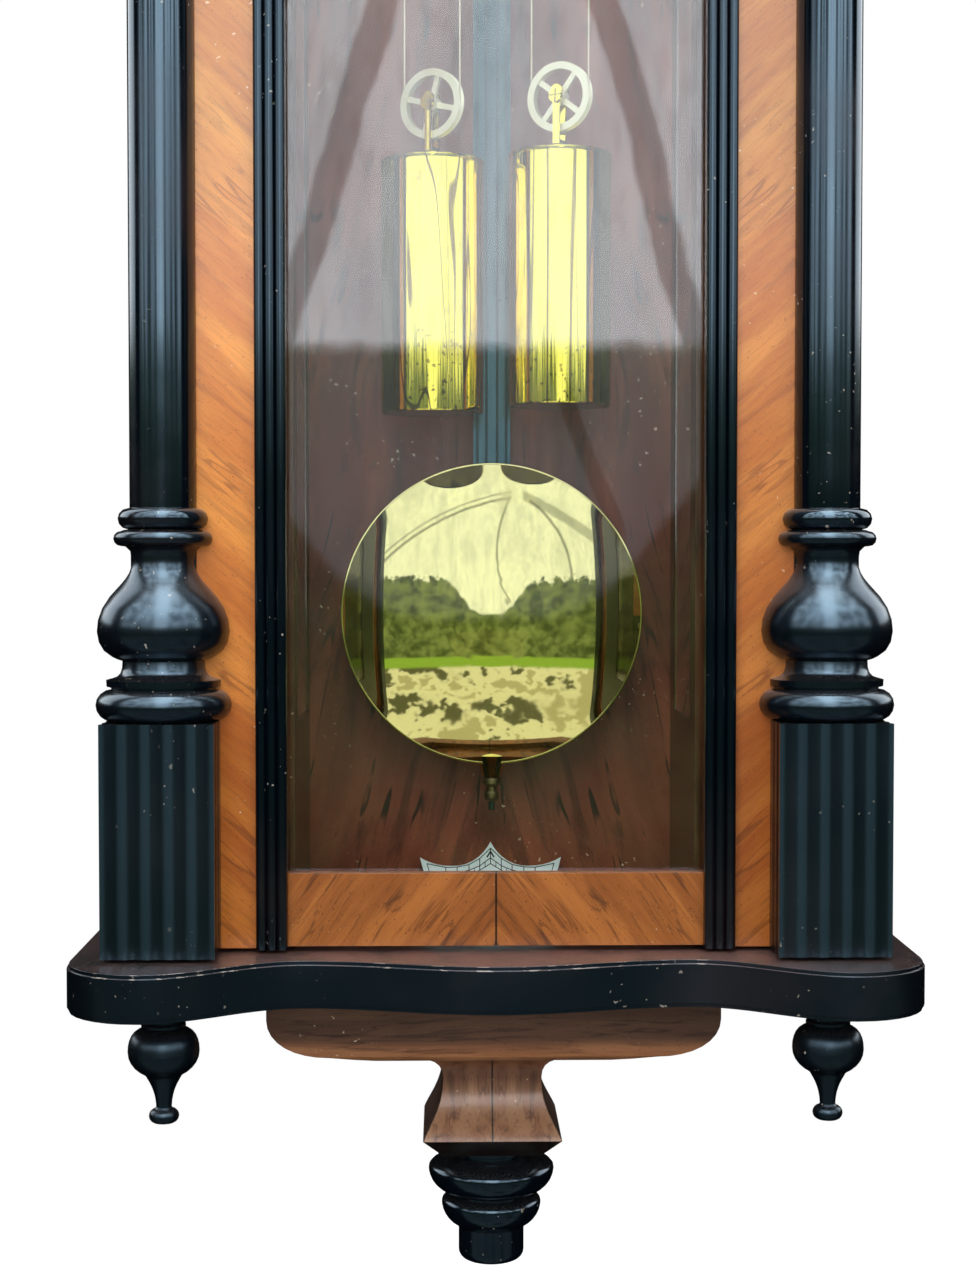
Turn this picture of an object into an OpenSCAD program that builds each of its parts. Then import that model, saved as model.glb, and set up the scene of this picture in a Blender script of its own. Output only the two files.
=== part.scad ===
/* [Case] */
// Width across the outer faces of the case sides
case_w = 236; // [234:1:240]
// Thickness of the backboard
back_t = 14; // [12:0.5:16]
// Depth of the case sides, from backboard to door
side_d = 118; // [116:1:124]
// Thickness of the case sides
side_t = 14; // [12:0.5:15]
// Thickness of the roof board
roof_t = 14; // [10:1:16]
// Thickness of the window panes
pane_t = 2.5; // [2:0.1:3]

/* [Base shelf] */
// Overall width of the base shelf
shelf_w = 430; // [426:1:450]
// Thickness of the base shelf
shelf_t = 24; // [20:1:28]
// Radius of the shelf's two front corners
ear_r = 40; // [36:1:44]
// How far the shelf's corners stand in front of the pedestals
ear_out = 30; // [26:1:36]
// How far the two hollows lie behind the corners
hollow_d = 36; // [30:1:38]
// How far the middle of the front swells out of the hollows
belly_d = 18; // [12:1:24]

/* [Door] */
// Thickness of the door frame
door_t = 22; // [20:1:25]
// Gap all round between door and case
door_gap = 2; // [1.5:0.5:3]
// Height of the top and bottom rails
rail_h = 37.5; // [34:0.5:42]
// Width of the black glazing mouldings
bead_w = 16; // [14:0.5:18]
// How far the glazing mouldings stand proud
bead_d = 6; // [4:0.5:8]
// Height of the side windows' lower edge above the shelf
window_h = 120; // [100:1:140]

/* [Columns] */
// Distance of each column's axis from the middle of the clock
column_x = 169; // [167:1:171]
// Width of the pedestals and head blocks
pedestal_w = 57; // [54:1:60]
// Depth of the pedestals and head blocks
pedestal_d = 31; // [29:1:34]
// Height of the pedestals
pedestal_h = 117; // [110:1:124]
// Radius of the column shafts
shaft_r = 16.8; // [16:0.1:18]

/* [Pendulum] */
// Height of the middle of the bob above the shelf
bob_h = 171; // [169:0.5:173]
// Distance from the suspension to the middle of the bob
pendulum_l = 635; // [625:1:645]
// Radius of the bob
bob_r = 84; // [80:0.5:86]
// Width of the pendulum rod
rod_w = 20.6; // [18:0.1:22]
// Thickness of the pendulum rod
rod_t = 8; // [6:0.5:8]

/* [Weights] */
// Radius of the weight shells
weight_r = 27.5; // [26:0.5:28]
// Length of the weight shells
weight_l = 134; // [125:1:140]
// Height of the pulley axles above the shelf
pulley_h = 447; // [430:1:460]
// Outer radius of the pulleys
pulley_r = 18.4; // [18:0.1:19]
// Angle that the pulleys are turned by the run of their lines
pulley_turn = 30; // [26:1:34]
// Diameter of the weight lines
line_d = 1; // [0.8:0.1:1.1]

/* [Movement] */
// Radius of the enamel dial
dial_r = 86; // [82:1:88]
// Distance of the winding arbors from the middle
wind_x = 34; // [33.6:0.1:34.4]
// Radius at which the line lies on its drum
drum_r = 13.5; // [13:0.1:14]
// Module of the great wheels and the motion work
great_m = 0.5; // [0.49:0.005:0.51]
// Module of the centre and third wheels
train_m = 0.72; // [0.715:0.001:0.725]
// Radius of the escape wheel
escape_r = 18; // [17:0.25:18.5]
// Thickness of the movement plates
plate_t = 2; // [1.5:0.25:2.5]
// Radius of the hanger's hole
hanger_r = 5; // [4:0.25:6]

/* [Hidden] */
$fn = 48;
fit = 0.3;                          // clearance between pieces that pass each other
run = 0.05;                         // radial clearance of a pivot in its hole
seam = 0.2;                         // gap between pieces of different bodies that meet

// Heights above the shelf's top face: the pendulum sets the height of the whole case
hang_point_h = bob_h + pendulum_l;  // where the suspension spring bends
dial_h = hang_point_h - 80;
door_h = hang_point_h + 64;
hang_h = hang_point_h + 146;        // the hanger's hole

// Depths are negative, from the wall towards the room
case_front = -(back_t + side_d);
door_back = case_front - 1;
door_front = door_back - door_t;
pedestal_front = door_front - pedestal_d;
ear_front = pedestal_front - ear_out;

inner_x = case_w / 2 - side_t;
case_h = door_h + 2 * door_gap + 2; // underside of the frieze above the shelf
door_top = door_gap + door_h;

bead_x0 = 106.5;                    // inner edge of a glazing moulding
bead_x1 = bead_x0 + bead_w;
stile_x0 = bead_x0 + 4;             // inner edge of a stile, under the moulding
pilaster_w = 33;
stile_x1 = column_x - pilaster_w / 2;
glass_y = door_front + 8;           // front face of the door's glass
pilaster_out = 2;

column_h = door_gap + pedestal_h;   // top of the pedestal
vase_h = 108;
shaft_z0 = column_h + vase_h;
capital_h = 38;
head_h = 134;
head_z0 = door_top - head_h;
shaft_z1 = head_z0 - capital_h;

// Shared forms

// Everything is drawn with height 0 at the shelf's top face, then moved to the hanger's frame
module from_shelf() {
    translate([0, 0, -hang_h]) children();
}

// Stands a drawing in x and height up, from depth y0 forward to y1
module slab(y0, y1) {
    translate([0, y0, 0]) rotate([90, 0, 0]) linear_extrude(y0 - y1) children();
}

// Carries a drawing in depth and height across, from x0 to x1
module across(x0, x1) {
    translate([x0, 0, 0]) rotate([90, 0, 90]) linear_extrude(x1 - x0) children();
}

module box(x0, x1, y0, y1, z0, z1) {
    translate([x0, y1, z0]) cube([x1 - x0, y0 - y1, z1 - z0]);
}

module both_sides() {
    children();
    mirror([1, 0, 0]) children();
}

// A rod along the depth, seen as a circle from the front
module arbor(x, h, r, y0, y1) {
    translate([x, y0, h]) rotate([90, 0, 0]) cylinder(r = r, h = y0 - y1);
}

function arc(cx, cy, r, a0, a1, n = 6) =
    [for (i = [0:n]) let (a = a0 + (a1 - a0) * i / n) [cx + r * cos(a), cy + r * sin(a)]];

function bezier(p0, p1, p2, p3, n = 6) =
    [for (i = [0:n]) let (t = i / n, s = 1 - t)
        s * s * s * p0 + 3 * s * s * t * p1 + 3 * s * t * t * p2 + t * t * t * p3];

function flip(points) = [for (i = [len(points) - 1:-1:0]) [-points[i][0], points[i][1]]];

// A moulding mitred round the front and both ends: each point is [how far out, height]
module mitred(points, half_w, back, front) {
    side = [for (p = points) [half_w + p[0], p[1]]];
    nose = [for (p = points) [front - p[0], p[1]]];
    z0 = points[0][1];
    z1 = points[len(points) - 1][1];
    intersection() {
        slab(back, front - 60) polygon(concat(side, flip(side)));
        across(-half_w - 60, half_w + 60)
            polygon(concat(nose, [[back, z1], [back, z0]]));
    }
}

// Case

module backboard() {
    color("saddlebrown") from_shelf() difference() {
        slab(0, -back_t) translate([-case_w / 2, 0]) square([case_w, backboard_h]);
        slab(1, -hanger_t) hanger_outline(0.2);
        for (h = hanger_screws) arbor(0, h, screw_r, 1, -9);
    }
}
backboard_h = hang_h - 18;
hanger_t = 2.5;
hanger_screws = [hang_h - 55, hang_h - 33];
screw_r = 1.6;

module hanger_outline(grow) {
    translate([0, hang_h]) circle(13 + grow);
    translate([0, hang_h - 60]) circle(9 + grow);
    translate([-9 - grow, hang_h - 60]) square([18 + 2 * grow, 60]);
}

module hanger_plate() {
    color("dimgray") from_shelf() difference() {
        slab(0, -hanger_t) hanger_outline(0);
        arbor(0, hang_h, hanger_r, 1, -hanger_t - 1);
        for (h = hanger_screws) arbor(0, h, screw_r, 1, -hanger_t - 1);
    }
}

window_y0 = -back_t - 24;
window_y1 = case_front + 24;
window_z1 = case_h - 76;

module case_side() {
    x0 = inner_x;
    difference() {
        box(x0, x0 + side_t, -back_t, case_front, 0, case_h);
        box(x0 - 1, x0 + side_t + 1, window_y0, window_y1, window_h, window_z1);
        // rebate that holds the pane from inside
        box(x0 - 1, x0 + pane_t + 1, window_y0 + 4, window_y1 - 4, window_h - 4, window_z1 + 4);
        // housing for the roof board
        box(x0 - 1, x0 + 4, -back_t + 1, case_front - 1, case_h - roof_t, case_h + 1);
    }
}

module case_side_right() { color("chocolate") from_shelf() case_side(); }

module case_side_left() { color("chocolate") from_shelf() mirror([1, 0, 0]) case_side(); }

module side_glasses() {
    color("lightblue") from_shelf() both_sides()
        box(inner_x + 0.5, inner_x + 0.5 + pane_t, window_y0 + 3.5, window_y1 - 3.5,
            window_h - 3.5, window_z1 + 3.5);
}

module roof_board() {
    color("sienna") from_shelf()
        box(-inner_x - 4, inner_x + 4, -back_t, case_front, case_h - roof_t, case_h);
}

// Front edge of the shelf: a swelling middle, two hollows and the corners under the columns
hollow_x = 98;
corner_x = shelf_w / 2 - ear_r;

function shelf_front(x) =
    let (a = abs(x))
    a > hollow_x
        ? ear_front + hollow_d * (1 + cos(180 * (a - hollow_x) / (corner_x - hollow_x))) / 2
        : ear_front + hollow_d - belly_d * (1 + cos(180 * a / hollow_x)) / 2;

module shelf_plan(inset) {
    half = [for (x = [0:7:corner_x]) [x, shelf_front(x) + inset]];
    corner = arc(corner_x, ear_front + ear_r, ear_r - inset, -90, 0, 8);
    side = concat(half, corner, [[shelf_w / 2 - inset, 0]]);
    polygon(concat(side, flip(side)));
}

shelf_round = 2;

module base_shelf() {
    color("black") from_shelf() {
        translate([0, 0, -shelf_round]) linear_extrude(shelf_round) shelf_plan(1);
        translate([0, 0, -shelf_t + shelf_round]) linear_extrude(shelf_t - 2 * shelf_round)
            shelf_plan(0);
        translate([0, 0, -shelf_t]) linear_extrude(shelf_round) shelf_plan(1);
    }
}

// Bracket and turned drops under the shelf

bracket_front = -112;
bracket_h = 46.5;
bracket_half = case_w / 2 + 3.5;
bracket_z1 = -shelf_t;
bracket_z0 = bracket_z1 - bracket_h;
neck_half = 38.5;
neck_front = -79;
neck_h = 60;
neck_z0 = bracket_z0 - neck_h;
collar_half = 27.5;
pendant_y = -40;

module bracket_moulding() {
    end = concat(
        [[bracket_half - 62, bracket_z0], [bracket_half - 33, bracket_z0 + 3.5]],
        arc_of(bracket_half - 33, bracket_z0 + 26, 33, 22.5),
        [[bracket_half, bracket_z1]]);
    front = concat(
        [[0, bracket_z1], [0, bracket_z0], [neck_front - 14, bracket_z0]],
        [for (p = arc_of(-bracket_front - 19, bracket_z0 + 25, 19, 25)) [-p[0], p[1]]],
        [[bracket_front, bracket_z1]]);
    color("sienna") from_shelf() intersection() {
        slab(0, bracket_front - 5) polygon(concat(flip(end), end));
        across(-case_w, case_w) polygon(front);
    }
}

// Quarter of an ellipse, from its lowest point round to its side
function arc_of(cx, cy, rx, ry) =
    [for (i = [0:8]) let (a = -90 + 90 * i / 8) [cx + rx * cos(a), cy + ry * sin(a)]];

neck_edge = 49;                     // depth of the neck's sharp lower edge

function neck_curve(edge, depth) = concat(
    bezier([edge + 13, bracket_z0], [edge - depth + 8, bracket_z0 - 2.5],
        [edge - depth, bracket_z0 - 7], [edge - depth, bracket_z0 - 16], 7),
    bezier([edge - depth, bracket_z0 - 17], [edge - depth, bracket_z0 - 33],
        [edge - 4, bracket_z0 - 40], [edge, bracket_z0 - neck_edge], 7));

module bracket_neck() {
    side = concat(neck_curve(neck_half, 11), [[collar_half, neck_z0]]);
    nose = [for (p = neck_curve(-neck_front, 13)) [-p[0], p[1]]];
    color("sienna") from_shelf() difference() {
        intersection() {
            slab(0, neck_front - 20) polygon(concat(flip(side), side));
            across(-neck_half - 20, neck_half + 20) polygon(concat(
                [[0, bracket_z0]], nose,
                [[pendant_y - collar_half, neck_z0], [pendant_y + collar_half, neck_z0],
                 [0, bracket_z0 - neck_edge]]));
        }
        // hollow chamfer on each front corner, widest in the middle of the neck
        both_sides() translate([neck_half + 9, neck_front - 9, bracket_z0 - 30])
            rotate([0, 0, 45]) rotate([0, 90, 0])
                translate([0, 0, -40]) cylinder(r = 21, h = 80);
    }
}

module bottom_finial() {
    profile = concat(
        [[0, 0], [21.6, 0], [21.6, -3.5], [19, -4.5], [19, -6.5]],
        bezier([20, -7], [30, -8.5], [36, -9.5], [35.6, -14]),
        bezier([35.6, -14], [35, -20], [31, -25], [23.9, -26.5]),
        [[21.5, -27.5], [21.5, -28.5]],
        bezier([22, -29], [27, -29.5], [28.4, -31], [28.1, -34]),
        bezier([28.1, -34], [27.5, -40], [23, -44.5], [19.5, -45.5]),
        [[18.5, -46.5]],
        arc(13.5, -60.5, 5, 0, -90, 5),
        [[0, -65.5]]);
    color("black") from_shelf() translate([0, pendant_y, neck_z0])
        rotate_extrude() polygon(profile);
}

drop_y = ear_front + 45;

module drop_finials() {
    profile = concat(
        [[0, 0], [10.8, 0], [10.8, -5.5], [9.4, -6.6], [9.4, -7.8], [11.2, -8.8],
         [11.2, -10.2]],
        bezier([10.4, -11], [16, -12], [18, -17], [18, -22.5]),
        bezier([18, -23], [18, -28], [14.5, -32], [9.8, -34.4], 5),
        [[9, -35.2]],
        bezier([8.6, -36], [6.2, -40], [4.2, -44], [3.9, -51]),
        arc(4, -55.5, 3.6, 80, -90, 8),
        [[0, -59.1]]);
    color("black") from_shelf() both_sides() translate([column_x - 1, drop_y, -shelf_t])
        rotate_extrude() polygon(profile);
}

// Frieze, cornice and crest

frieze_h = 24;
cornice_h = 26;
frieze_half = column_x + pedestal_w / 2 + 3;
frieze_front = pedestal_front - 3;
cornice_z0 = case_h + frieze_h;
crest_z0 = cornice_z0 + cornice_h;
hanger_bay = 20;                    // half width of the bay cut out behind for the hanger

module hanger_clearance() {
    box(-hanger_bay, hanger_bay, 1, -back_t - 16, case_h - 1, crest_z0 + 40);
}

module frieze() {
    color("sienna") from_shelf() difference() {
        box(-frieze_half, frieze_half, 0, frieze_front, case_h, cornice_z0);
        box(-case_w / 2 - 0.1, case_w / 2 + 0.1, 1, -back_t - 0.1, case_h - 1, cornice_z0 + 1);
        hanger_clearance();
    }
}

module cornice() {
    points = concat(
        [[0, cornice_z0], [3, cornice_z0], [3, cornice_z0 + 4], [4, cornice_z0 + 5]],
        bezier([4, cornice_z0 + 5], [5, cornice_z0 + 12], [12, cornice_z0 + 12],
            [13, cornice_z0 + 18], 6),
        [[15, cornice_z0 + 19], [15, crest_z0 - 1.5], [14, crest_z0]]);
    color("black") from_shelf() difference() {
        mitred(points, frieze_half, 0, frieze_front);
        box(-case_w / 2 - 0.1, case_w / 2 + 0.1, 1, -back_t - 0.1, cornice_z0 - 1, crest_z0 + 1);
        hanger_clearance();
    }
}

plinth_half = 118;
plinth_h = 12;
plinth_back = -100;
panel_h = 74;
panel_back = -140;
panel_t = 16;

module crest_plinth() {
    z = crest_z0;
    points = [[0, z], [6, z], [6, z + 5], [4, z + 7], [2, z + plinth_h - 1],
              [1, z + plinth_h]];
    color("black") from_shelf() mitred(points, plinth_half, plinth_back, frieze_front + 22);
}

module crest_panel() {
    z = crest_z0 + plinth_h;
    half = concat(
        [[0, z], [112, z], [112, z + 14]],
        bezier([106, z + 16], [90, z + 16], [76, z + 24], [70, z + 38], 7),
        bezier([64, z + 40], [54, z + 42], [44, z + 46], [40, z + 58], 6),
        [[34, z + 60], [34, z + panel_h], [0, z + panel_h]]);
    color("chocolate") from_shelf() slab(panel_back, panel_back - panel_t)
        polygon(concat(half, flip(half)));
}

module urn(top) {
    profile = concat(
        [[0, 0], [17, 0], [17, 5], [15, 6.5], [9, 9], [8, 13], [13, 15], [13, 18], [11, 19]],
        bezier([11, 19], [24, 24], [25, 42], [10, 50]),
        [[8, 51], [12, 53], [12, 56], [7, 58]],
        bezier([7, 58], [9, 62], [8, 68], [3.5, top - 8]),
        arc(0, top - 4.5, 4.5, -40, 89, 5),
        [[0, top]]);
    rotate_extrude() polygon(profile);
}

module crest_finials() {
    color("black") from_shelf() {
        translate([0, panel_back - panel_t / 2, crest_z0 + plinth_h + panel_h])
            urn(82);
        both_sides() translate([column_x, pedestal_front + 24, crest_z0]) urn(76);
    }
}

// Beat scale at the foot of the backboard

module beat_scale() {
    right = concat(
        bezier([0, 39], [3, 33], [9, 26.5], [18, 25.2], 6),
        bezier([18, 25.2], [27, 24.5], [34, 26], [40.5, 30], 6),
        bezier([40.5, 30], [39, 22], [36, 16], [32, 11], 4),
        [[0, 9]]);
    color("white") from_shelf() {
        slab(-back_t - 6, -back_t - 8) polygon(concat(right, flip(right)));
        both_sides() arbor(20, 17, 2, -back_t, -back_t - 6);
    }
}

// Movement frame

back_plate_y = -62;
front_plate_y = -102;
arm_x0 = 60;
arm_x1 = 67;
plate_z0 = dial_h - 56;
plate_z1 = dial_h + 36;
plate_top = hang_point_h + 16;
great_dz = sqrt(pow(76 * great_m, 2) - pow(wind_x, 2));
wind_h = dial_h - great_dz;
escape_h = hang_point_h - escape_r * sqrt(2);

// The third arbor lies where its two centre distances meet
centre_third = 44 * train_m;
third_escape = 34 * train_m;
centre_escape = escape_h - dial_h;
third_dz = (pow(centre_escape, 2) + pow(centre_third, 2) - pow(third_escape, 2))
    / (2 * centre_escape);
third_x = -sqrt(pow(centre_third, 2) - pow(third_dz, 2));
third_h = dial_h + third_dz;

pin_x = -wind_x + 4;
pin_h = wind_h + sqrt(pow(78 * great_m, 2) - 16);
fly_x = pin_x - 34 * great_m;

minute_dist = 28 * great_m;
minute_h = dial_h - minute_dist;

pillar_r = 4;
pillar_spots = [[-63, plate_z0 + 6], [63, plate_z0 + 6], [-63, plate_z1 - 5],
                [63, plate_z1 - 5], [-24, plate_top - 6], [24, plate_top - 6]];
pivot_r = 1.2;
stud_x = -50;
stud_h = plate_z0 + 16;

module plate_outline() {
    translate([-68, plate_z0]) square([136, plate_z1 - plate_z0]);
    translate([-30, plate_z1 - 1]) square([60, plate_top - plate_z1 + 1]);
}

module hole(x, h, r) {
    arbor(x, h, r, back_plate_y + 30, front_plate_y - 30);
}

module common_holes() {
    for (x = [-wind_x, wind_x]) hole(x, wind_h, 2 + run);
    hole(third_x, third_h, pivot_r + run);
    hole(0, escape_h, pivot_r + run);
    hole(0, hang_point_h, 1.5 + run);
    hole(pin_x, pin_h, pivot_r + run);
    hole(fly_x, pin_h, pivot_r + run);
}

module back_plate() {
    color("goldenrod") from_shelf() {
        difference() {
            slab(back_plate_y, back_plate_y - plate_t) plate_outline();
            common_holes();
            hole(0, dial_h, pivot_r + run);
        }
        for (p = pillar_spots)
            arbor(p[0], p[1], pillar_r, back_plate_y - plate_t + 0.5, front_plate_y);
        // stud of the hammer
        arbor(stud_x, stud_h, 3, back_plate_y + 1.8, back_plate_y - 0.5);
        arbor(stud_x, stud_h, 1.5, -51, back_plate_y - 0.5);
    }
}

module front_plate() {
    color("goldenrod") from_shelf() difference() {
        union() {
            slab(front_plate_y, front_plate_y - plate_t) plate_outline();
            // studs that hold the fixed ends of the lines
            for (x = anchor_xs)
                arbor(x, plate_z0 + 4, 2.5, front_plate_y - plate_t, line_front + line_d / 2 + 0.25);
        }
        common_holes();
        hole(0, dial_h, 3 + run);
        hole(0, minute_h, pivot_r + run);
    }
}

// Cast bracket on the backboard, with two arms under the plates and the suspension post
bracket_t = 4;
post_z0 = hang_point_h + 0.3;

module movement_bracket() {
    color("dimgray") from_shelf() {
        box(-arm_x1, arm_x1, -back_t, -back_t - bracket_t, plate_z0 - 10, plate_z0 + 6);
        box(-9, 9, -back_t, -back_t - bracket_t, plate_z0 + 5, post_z0 + 16);
        both_sides() box(arm_x0, arm_x1, -back_t - 1, front_plate_y - plate_t,
            plate_z0 - 10, plate_z0);
        box(-6, 6, -back_t - 1, -56, post_z0, post_z0 + 14);
    }
}

// Dial with its bezel

dial_y = -112;
dial_t = 2;

module dial() {
    color("white") from_shelf() difference() {
        union() {
            slab(dial_y, dial_y - dial_t) translate([0, dial_h]) circle(dial_r, $fn = 96);
            for (p = [[-50, 22], [50, 22], [0, -52]])
                arbor(p[0], dial_h + p[1], 1.5, front_plate_y - plate_t, dial_y - 1);
        }
        arbor(0, dial_h, 5.5, dial_y + 5, dial_y - 5);
        for (x = [-wind_x, wind_x]) arbor(x, wind_h, 5, dial_y + 5, dial_y - 5);
    }
}

module dial_bezel() {
    profile = concat([[dial_r - 4, 0], [dial_r + 4, 0]],
        bezier([dial_r + 6, 1], [dial_r + 6, 5], [dial_r, 6.5], [dial_r - 3, 5], 6),
        [[dial_r - 4.5, 3]]);
    color("gold") from_shelf() translate([0, dial_y - dial_t, dial_h]) rotate([90, 0, 0])
        rotate_extrude($fn = 96) polygon(profile);
}

// Gong: a spring wire wound flat, on its boss

gong_h = dial_h - 114;
gong_r0 = 13;
gong_r1 = 45;
gong_turns = 4;
gong_wire = 2.6;
gong_y = -back_t - 9;

function spiral(turns, steps) = [for (i = [0:turns * steps]) let (a = 360 * i / steps)
    let (r = gong_r0 + (gong_r1 - gong_r0) * i / (turns * steps))
    [r * cos(a), gong_y, gong_h + r * sin(a)]];

// Sweeps a round tube along points: one unbroken solid
module tube(points, r, sides, ref) {
    n = len(points);
    rings = [for (i = [0:n - 1]) let (
        t = points[min(i + 1, n - 1)] - points[max(i - 1, 0)],
        d = t / norm(t),
        u0 = cross(d, ref),
        u = u0 / norm(u0),
        v = cross(d, u))
        for (k = [0:sides - 1]) points[i]
            + r * (cos(360 * k / sides) * u + sin(360 * k / sides) * v)];
    skin = [for (i = [0:n - 2]) for (k = [0:sides - 1]) for (f = [0, 1])
        let (k1 = (k + 1) % sides, a = i * sides, b = a + sides)
        f == 0 ? [a + k, b + k1, a + k1] : [a + k, b + k, b + k1]];
    start = [for (k = [1:sides - 2]) [0, k, k + 1]];
    last = (n - 1) * sides;
    end = [for (k = [1:sides - 2]) [last, last + k + 1, last + k]];
    polyhedron(concat(rings), concat(skin, start, end));
}

module gong() {
    color("slategray") from_shelf()
        tube(spiral(gong_turns, 24), gong_wire / 2, 6, [0, 1, 0]);
}
echo(gong_gap = (gong_r1 - gong_r0) / gong_turns - gong_wire);

module gong_stand() {
    color("dimgray") from_shelf() {
        arbor(0, gong_h, gong_r0 - gong_wire / 2 - 0.2, -back_t, gong_y - 3);
        box(-16, 16, -back_t, -back_t - 3, gong_h - 16, gong_h + 16);
    }
}

// Toothed wheels

// Outline of a wheel: teeth stand at angle 0 and on, each narrower at its tip
function teeth(n, m, add, ded, wide) = [for (i = [0:n - 1]) let (
    p = 360 / n, a = p * i, rr = m * n / 2 - ded * m, rt = m * n / 2 + add * m)
    for (k = [[rr, -wide * 0.62], [rt, -wide * 0.26], [rt, wide * 0.26], [rr, wide * 0.62]])
        [k[0] * cos(a + k[1] * p), k[0] * sin(a + k[1] * p)]];

module crossings(r_out, r_in, spokes, spoke_w) {
    difference() {
        circle(r_out);
        circle(r_in);
        for (i = [0:spokes - 1]) rotate(i * 360 / spokes)
            translate([0, -spoke_w / 2]) square([r_out + 1, spoke_w]);
    }
}

module wheel(x, h, n, m, y0, y1, turn, rim, hub, spokes = 4, spoke_w = 3) {
    pitch = n * m / 2;
    slab(y0, y1) translate([x, h]) rotate(turn) difference() {
        polygon(teeth(n, m, 0.75, 0.95, 0.42));
        crossings(pitch - rim, hub, spokes, spoke_w);
    }
}

module pinion(x, h, n, m, y0, y1, turn) {
    slab(y0, y1) translate([x, h]) rotate(turn) polygon(teeth(n, m, 0.55, 1.0, 0.36));
}

function aim(x0, h0, x1, h1) = atan2(h1 - h0, x1 - x0);

// Planes of the wheels, from the back plate forward
centre_y = -66;
strike_y = -69;
great_y = -73.5;
third_y = -80;
escape_y = -92;
wheel_t = 1.6;
great_t = 2.4;

great_aim = aim(wind_x, wind_h, 0, dial_h);

module time_great_wheel() {
    color("gold") from_shelf() difference() {
        wheel(wind_x, wind_h, 144, great_m, great_y, great_y - great_t, great_aim,
            4.5, 13, 6, 4);
        hole(wind_x, wind_h, 3 + run);
    }
}

module drum(x) {
    core = drum_r - line_d / 2 - 0.3;
    difference() {
        union() {
            arbor(x, wind_h, core, -78, -100);
            arbor(x, wind_h, drum_r + 2.5, -78, -79);
            arbor(x, wind_h, drum_r + 2.5, -99, -100);
            arbor(x, wind_h, 2, back_plate_y, front_plate_y - plate_t - 1);
            arbor(x, wind_h, 3, back_plate_y - plate_t - 0.5, front_plate_y + 0.5);
            slab(front_plate_y - plate_t - 0.5, dial_y - 6) translate([x, wind_h])
                square(4.2, center = true);
            arbor(x, wind_h, 3.2, front_plate_y - plate_t - 0.3, front_plate_y - plate_t - 2);
        }
        // knot hole of the line in the drum
        translate([x, -97.5, wind_h]) cylinder(r = 0.7, h = drum_r + 4);
    }
}

module time_drum() { color("gold") from_shelf() drum(wind_x); }

module strike_drum() { color("gold") from_shelf() drum(-wind_x); }

module centre_wheel() {
    a = aim(0, dial_h, third_x, third_h);
    color("gold") from_shelf() {
        wheel(0, dial_h, 80, train_m, centre_y, centre_y - wheel_t, a, 4, 5);
        pinion(0, dial_h, 8, great_m, great_y + 0.5, great_y - great_t - 1,
            great_aim + 180 + 22.5);
        arbor(0, dial_h, pivot_r, back_plate_y, -66);
        arbor(0, dial_h, 1.55, -65, -101.5);
        arbor(0, dial_h, 2.4, -88, -101.5);
        arbor(0, dial_h, 3, -101, -104.6);
        pinion(0, dial_h, 14, great_m, motion_y + 0.2, motion_y - 1.7, 90 + 180 / 14);
        arbor(0, dial_h, 2.1, -104, hand_y - 4);
    }
}
motion_y = -105;
hour_y = -108.5;
hand_y = -121;
hour_m = minute_dist / 30;

module minute_wheel() {
    color("gold") from_shelf() {
        wheel(0, minute_h, 42, great_m, motion_y, motion_y - 1.4, 90, 2.6, 3.6, 4, 2);
        pinion(0, minute_h, 12, hour_m, motion_y - 1, hour_y - 2, 90 + 15);
        arbor(0, minute_h, pivot_r, front_plate_y, -111);
    }
}

// Pierced hands
module leaf_hand(reach, ring_at, ring_r, waist, tip) {
    difference() {
        union() {
            polygon([[-1.6, 0], [1.6, 0], [waist, ring_at - ring_r + 1],
                     [-waist, ring_at - ring_r + 1]]);
            translate([0, ring_at]) circle(ring_r);
            polygon([[-waist, ring_at + ring_r - 1], [waist, ring_at + ring_r - 1],
                     [tip, reach * 0.86], [0, reach], [-tip, reach * 0.86]]);
            circle(5);
        }
        translate([0, ring_at]) circle(ring_r - 1.5);
    }
}

hour_angle = 55;
minute_angle = -56;

module hour_hand() {
    color("black") from_shelf() difference() {
        union() {
            wheel(0, dial_h, 48, hour_m, hour_y, hour_y - 1.4, -90, 2.6, 6.5, 4, 2);
            arbor(0, dial_h, 4, hour_y, hand_y - 0.4);
            slab(hand_y + 1.4, hand_y) translate([0, dial_h]) rotate(hour_angle)
                leaf_hand(52, 34, 7.5, 2.2, 1.2);
        }
        arbor(0, dial_h, 2.1 + run, hour_y + 2, hand_y - 2);
    }
}

module minute_hand() {
    color("black") from_shelf() difference() {
        slab(hand_y - 2, hand_y - 3.4) translate([0, dial_h]) rotate(minute_angle)
            leaf_hand(74, 50, 6.5, 1.8, 1);
        arbor(0, dial_h, 2.1, hand_y, hand_y - 6);
    }
}

module third_wheel() {
    a = aim(third_x, third_h, 0, escape_h);
    color("gold") from_shelf() {
        wheel(third_x, third_h, 60, train_m, third_y, third_y - wheel_t, a, 3.6, 4.5, 4, 2.6);
        pinion(third_x, third_h, 8, train_m, -65.2, -69,
            aim(0, dial_h, third_x, third_h) + 180 + 22.5);
        arbor(third_x, third_h, pivot_r, back_plate_y, front_plate_y - plate_t);
        arbor(third_x, third_h, 1.7, -65, -101.5);
    }
}

// Escape wheel: raked teeth with fine tips
function raked(n) = [for (i = [0:n - 1]) for (k = [[escape_r - 3.4, 0],
    [escape_r, 3], [escape_r, 3.8], [escape_r - 3.4, 5.5]])
    let (a = 360 / n * i + k[1]) [k[0] * cos(a), k[0] * sin(a)]];

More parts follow.
